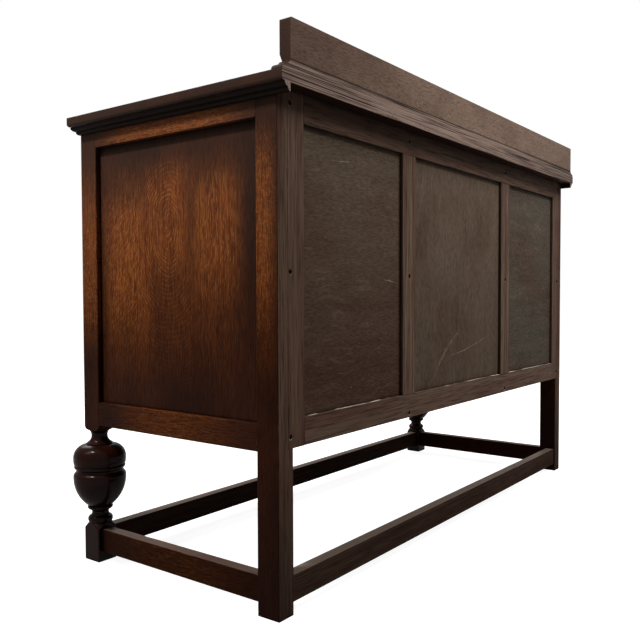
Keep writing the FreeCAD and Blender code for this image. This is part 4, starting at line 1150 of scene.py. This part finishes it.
# Lamps: name, place in metres and width
LAMPS = (("ceiling", (1.7, -0.45, 2.5), 0.2), ("end", (2.3, -0.9, 2.6), 1.0), ("back", (-0.4, 1.2, 2.4), 0.9),
         ("front", (-0.8, -2.8, 2.4), 1.6), ("left", (-2.5, -0.2, 2.2), 1.2))
# Camera of the photograph: its place, and the directions to its right and up
CAMERA_PLACE = (1.579, 1.01746, 0.5305)
CAMERA_RIGHT = Vector((-0.59654, 0.80258, -0.00277))
CAMERA_UP = Vector((-0.02891, -0.01804, 0.99942))
SENSOR_WIDTH = 36
FLOOR_HALF = 60


class SetStage(bpy.types.Operator):
    """Sets the floor, the lamps and the camera"""
    bl_idname = "sideboard.set_stage"
    bl_label = "Set the stage"

    def execute(self, context):
        studio = context.scene.sideboard_studio
        context.scene.view_settings.view_transform = "Standard"
        self.floor(studio)
        self.room(context.scene, studio)
        for name, place, size in LAMPS:
            self.lamp(f"{name}_lamp", place, size, getattr(studio, name))
        self.camera(context.scene, studio)
        return {"FINISHED"}

    def direct(self, tree):
        """1 for a ray that comes straight from the camera, a mirror or glass."""
        shown = add(tree, "LightPath", out="Is Camera Ray")
        for ray in ("Is Glossy Ray", "Is Transmission Ray"):
            shown = add(tree, "Math", shown, add(tree, "LightPath", out=ray), operation="MAXIMUM")
        return shown

    def floor(self, studio):
        """A pale floor that takes the object's shadow and runs into the white from 1.2 m to 5 m away."""
        mesh = bmesh.new()
        bmesh.ops.create_grid(mesh, x_segments=1, y_segments=1, size=FLOOR_HALF)
        piece = finished(mesh, "studio_floor")
        material, tree = new_material("pale_floor")
        away = add(tree, "VectorMath", add(tree, "TexCoord", out="Object"), operation="LENGTH", out="Value")
        sweep = add(tree, "MapRange", away, 1.2, 5.0, 0.92, 1.0)
        bounce = add(tree, "BsdfDiffuse", studio.floor)
        shaded = add(tree, "BsdfDiffuse", studio.seen_floor)
        seen = add(tree, "AddShader", shaded, add(tree, "Emission", None, sweep))
        add(tree, "OutputMaterial", add(tree, "MixShader", self.direct(tree), bounce, seen))
        piece.data.materials.append(material)

    def room(self, scene, studio):
        """White behind the object, and even light from all sides."""
        world = bpy.data.worlds.new("white_room")
        world.use_nodes = True
        tree = world.node_tree
        tree.nodes.clear()
        white = linear("ffffff")
        light = add(tree, "Background", white, studio.sky)
        shown = add(tree, "Background", white, 1.0)
        add(tree, "OutputWorld", add(tree, "MixShader", self.direct(tree), light, shown))
        scene.world = world

    def lamp(self, name, place, size, power):
        """A square soft lamp that points at the middle of the object."""
        data = bpy.data.lights.new(name, "AREA")
        data.size = size
        data.energy = power
        lamp = bpy.data.objects.new(name, data)
        aim = Vector((0, 0, 0.5)) - Vector(place)
        lamp.matrix_world = Matrix.Translation(place) @ aim.to_track_quat("-Z", "Y").to_matrix().to_4x4()
        bpy.context.scene.collection.objects.link(lamp)

    def camera(self, scene, studio):
        """The camera of the photograph: low, behind the right end, looking slightly down."""
        data = bpy.data.cameras.new("camera")
        data.lens = studio.lens
        data.sensor_width = SENSOR_WIDTH
        turn = Matrix((CAMERA_RIGHT, CAMERA_UP, CAMERA_RIGHT.cross(CAMERA_UP))).transposed().to_4x4()
        camera = bpy.data.objects.new("camera", data)
        camera.matrix_world = Matrix.Translation(CAMERA_PLACE) @ turn
        scene.collection.objects.link(camera)
        scene.camera = camera


class SideboardPanel(bpy.types.Panel):
    """Lists the steps of the sideboard"""
    bl_idname = "VIEW3D_PT_sideboard"
    bl_label = "Sideboard"
    bl_space_type = "VIEW_3D"
    bl_region_type = "UI"
    bl_category = "Sideboard"

    def draw(self, context):
        for step_class in STEPS:
            self.layout.operator(step_class.bl_idname)
        for name in GROUPS:
            self.layout.label(text=name.replace("_", " ").capitalize())
            held = getattr(context.scene, name)
            for prop in held.bl_rna.properties:
                if not prop.is_readonly and prop.identifier != "name":
                    self.layout.prop(held, prop.identifier)


GROUPS = {"sideboard_top": TopSizes, "sideboard_leg": LegSizes, "sideboard_fittings": FittingSizes,
          "sideboard_woods": WoodColours, "sideboard_metals": MetalColours,
          "sideboard_studio": StudioSettings}
STEPS = (FinishCarcase, FinishPanels, FinishBack, FinishInside, FinishFittings, ShapeTop, TurnLegs,
         HangHandles, DriveScrews, MarkBack, SetStage)


def register():
    for kind in (*GROUPS.values(), *STEPS, SideboardPanel):
        bpy.utils.register_class(kind)
    for name, kind in GROUPS.items():
        setattr(bpy.types.Scene, name, bpy.props.PointerProperty(type=kind))


def unregister():
    for name in GROUPS:
        delattr(bpy.types.Scene, name)
    for kind in (SideboardPanel, *reversed(STEPS), *reversed(list(GROUPS.values()))):
        bpy.utils.unregister_class(kind)


def main():
    register()
    for step_class in STEPS:
        group, name = step_class.bl_idname.split(".")
        getattr(getattr(bpy.ops, group), name)()


if __name__ == "__main__":
    main()
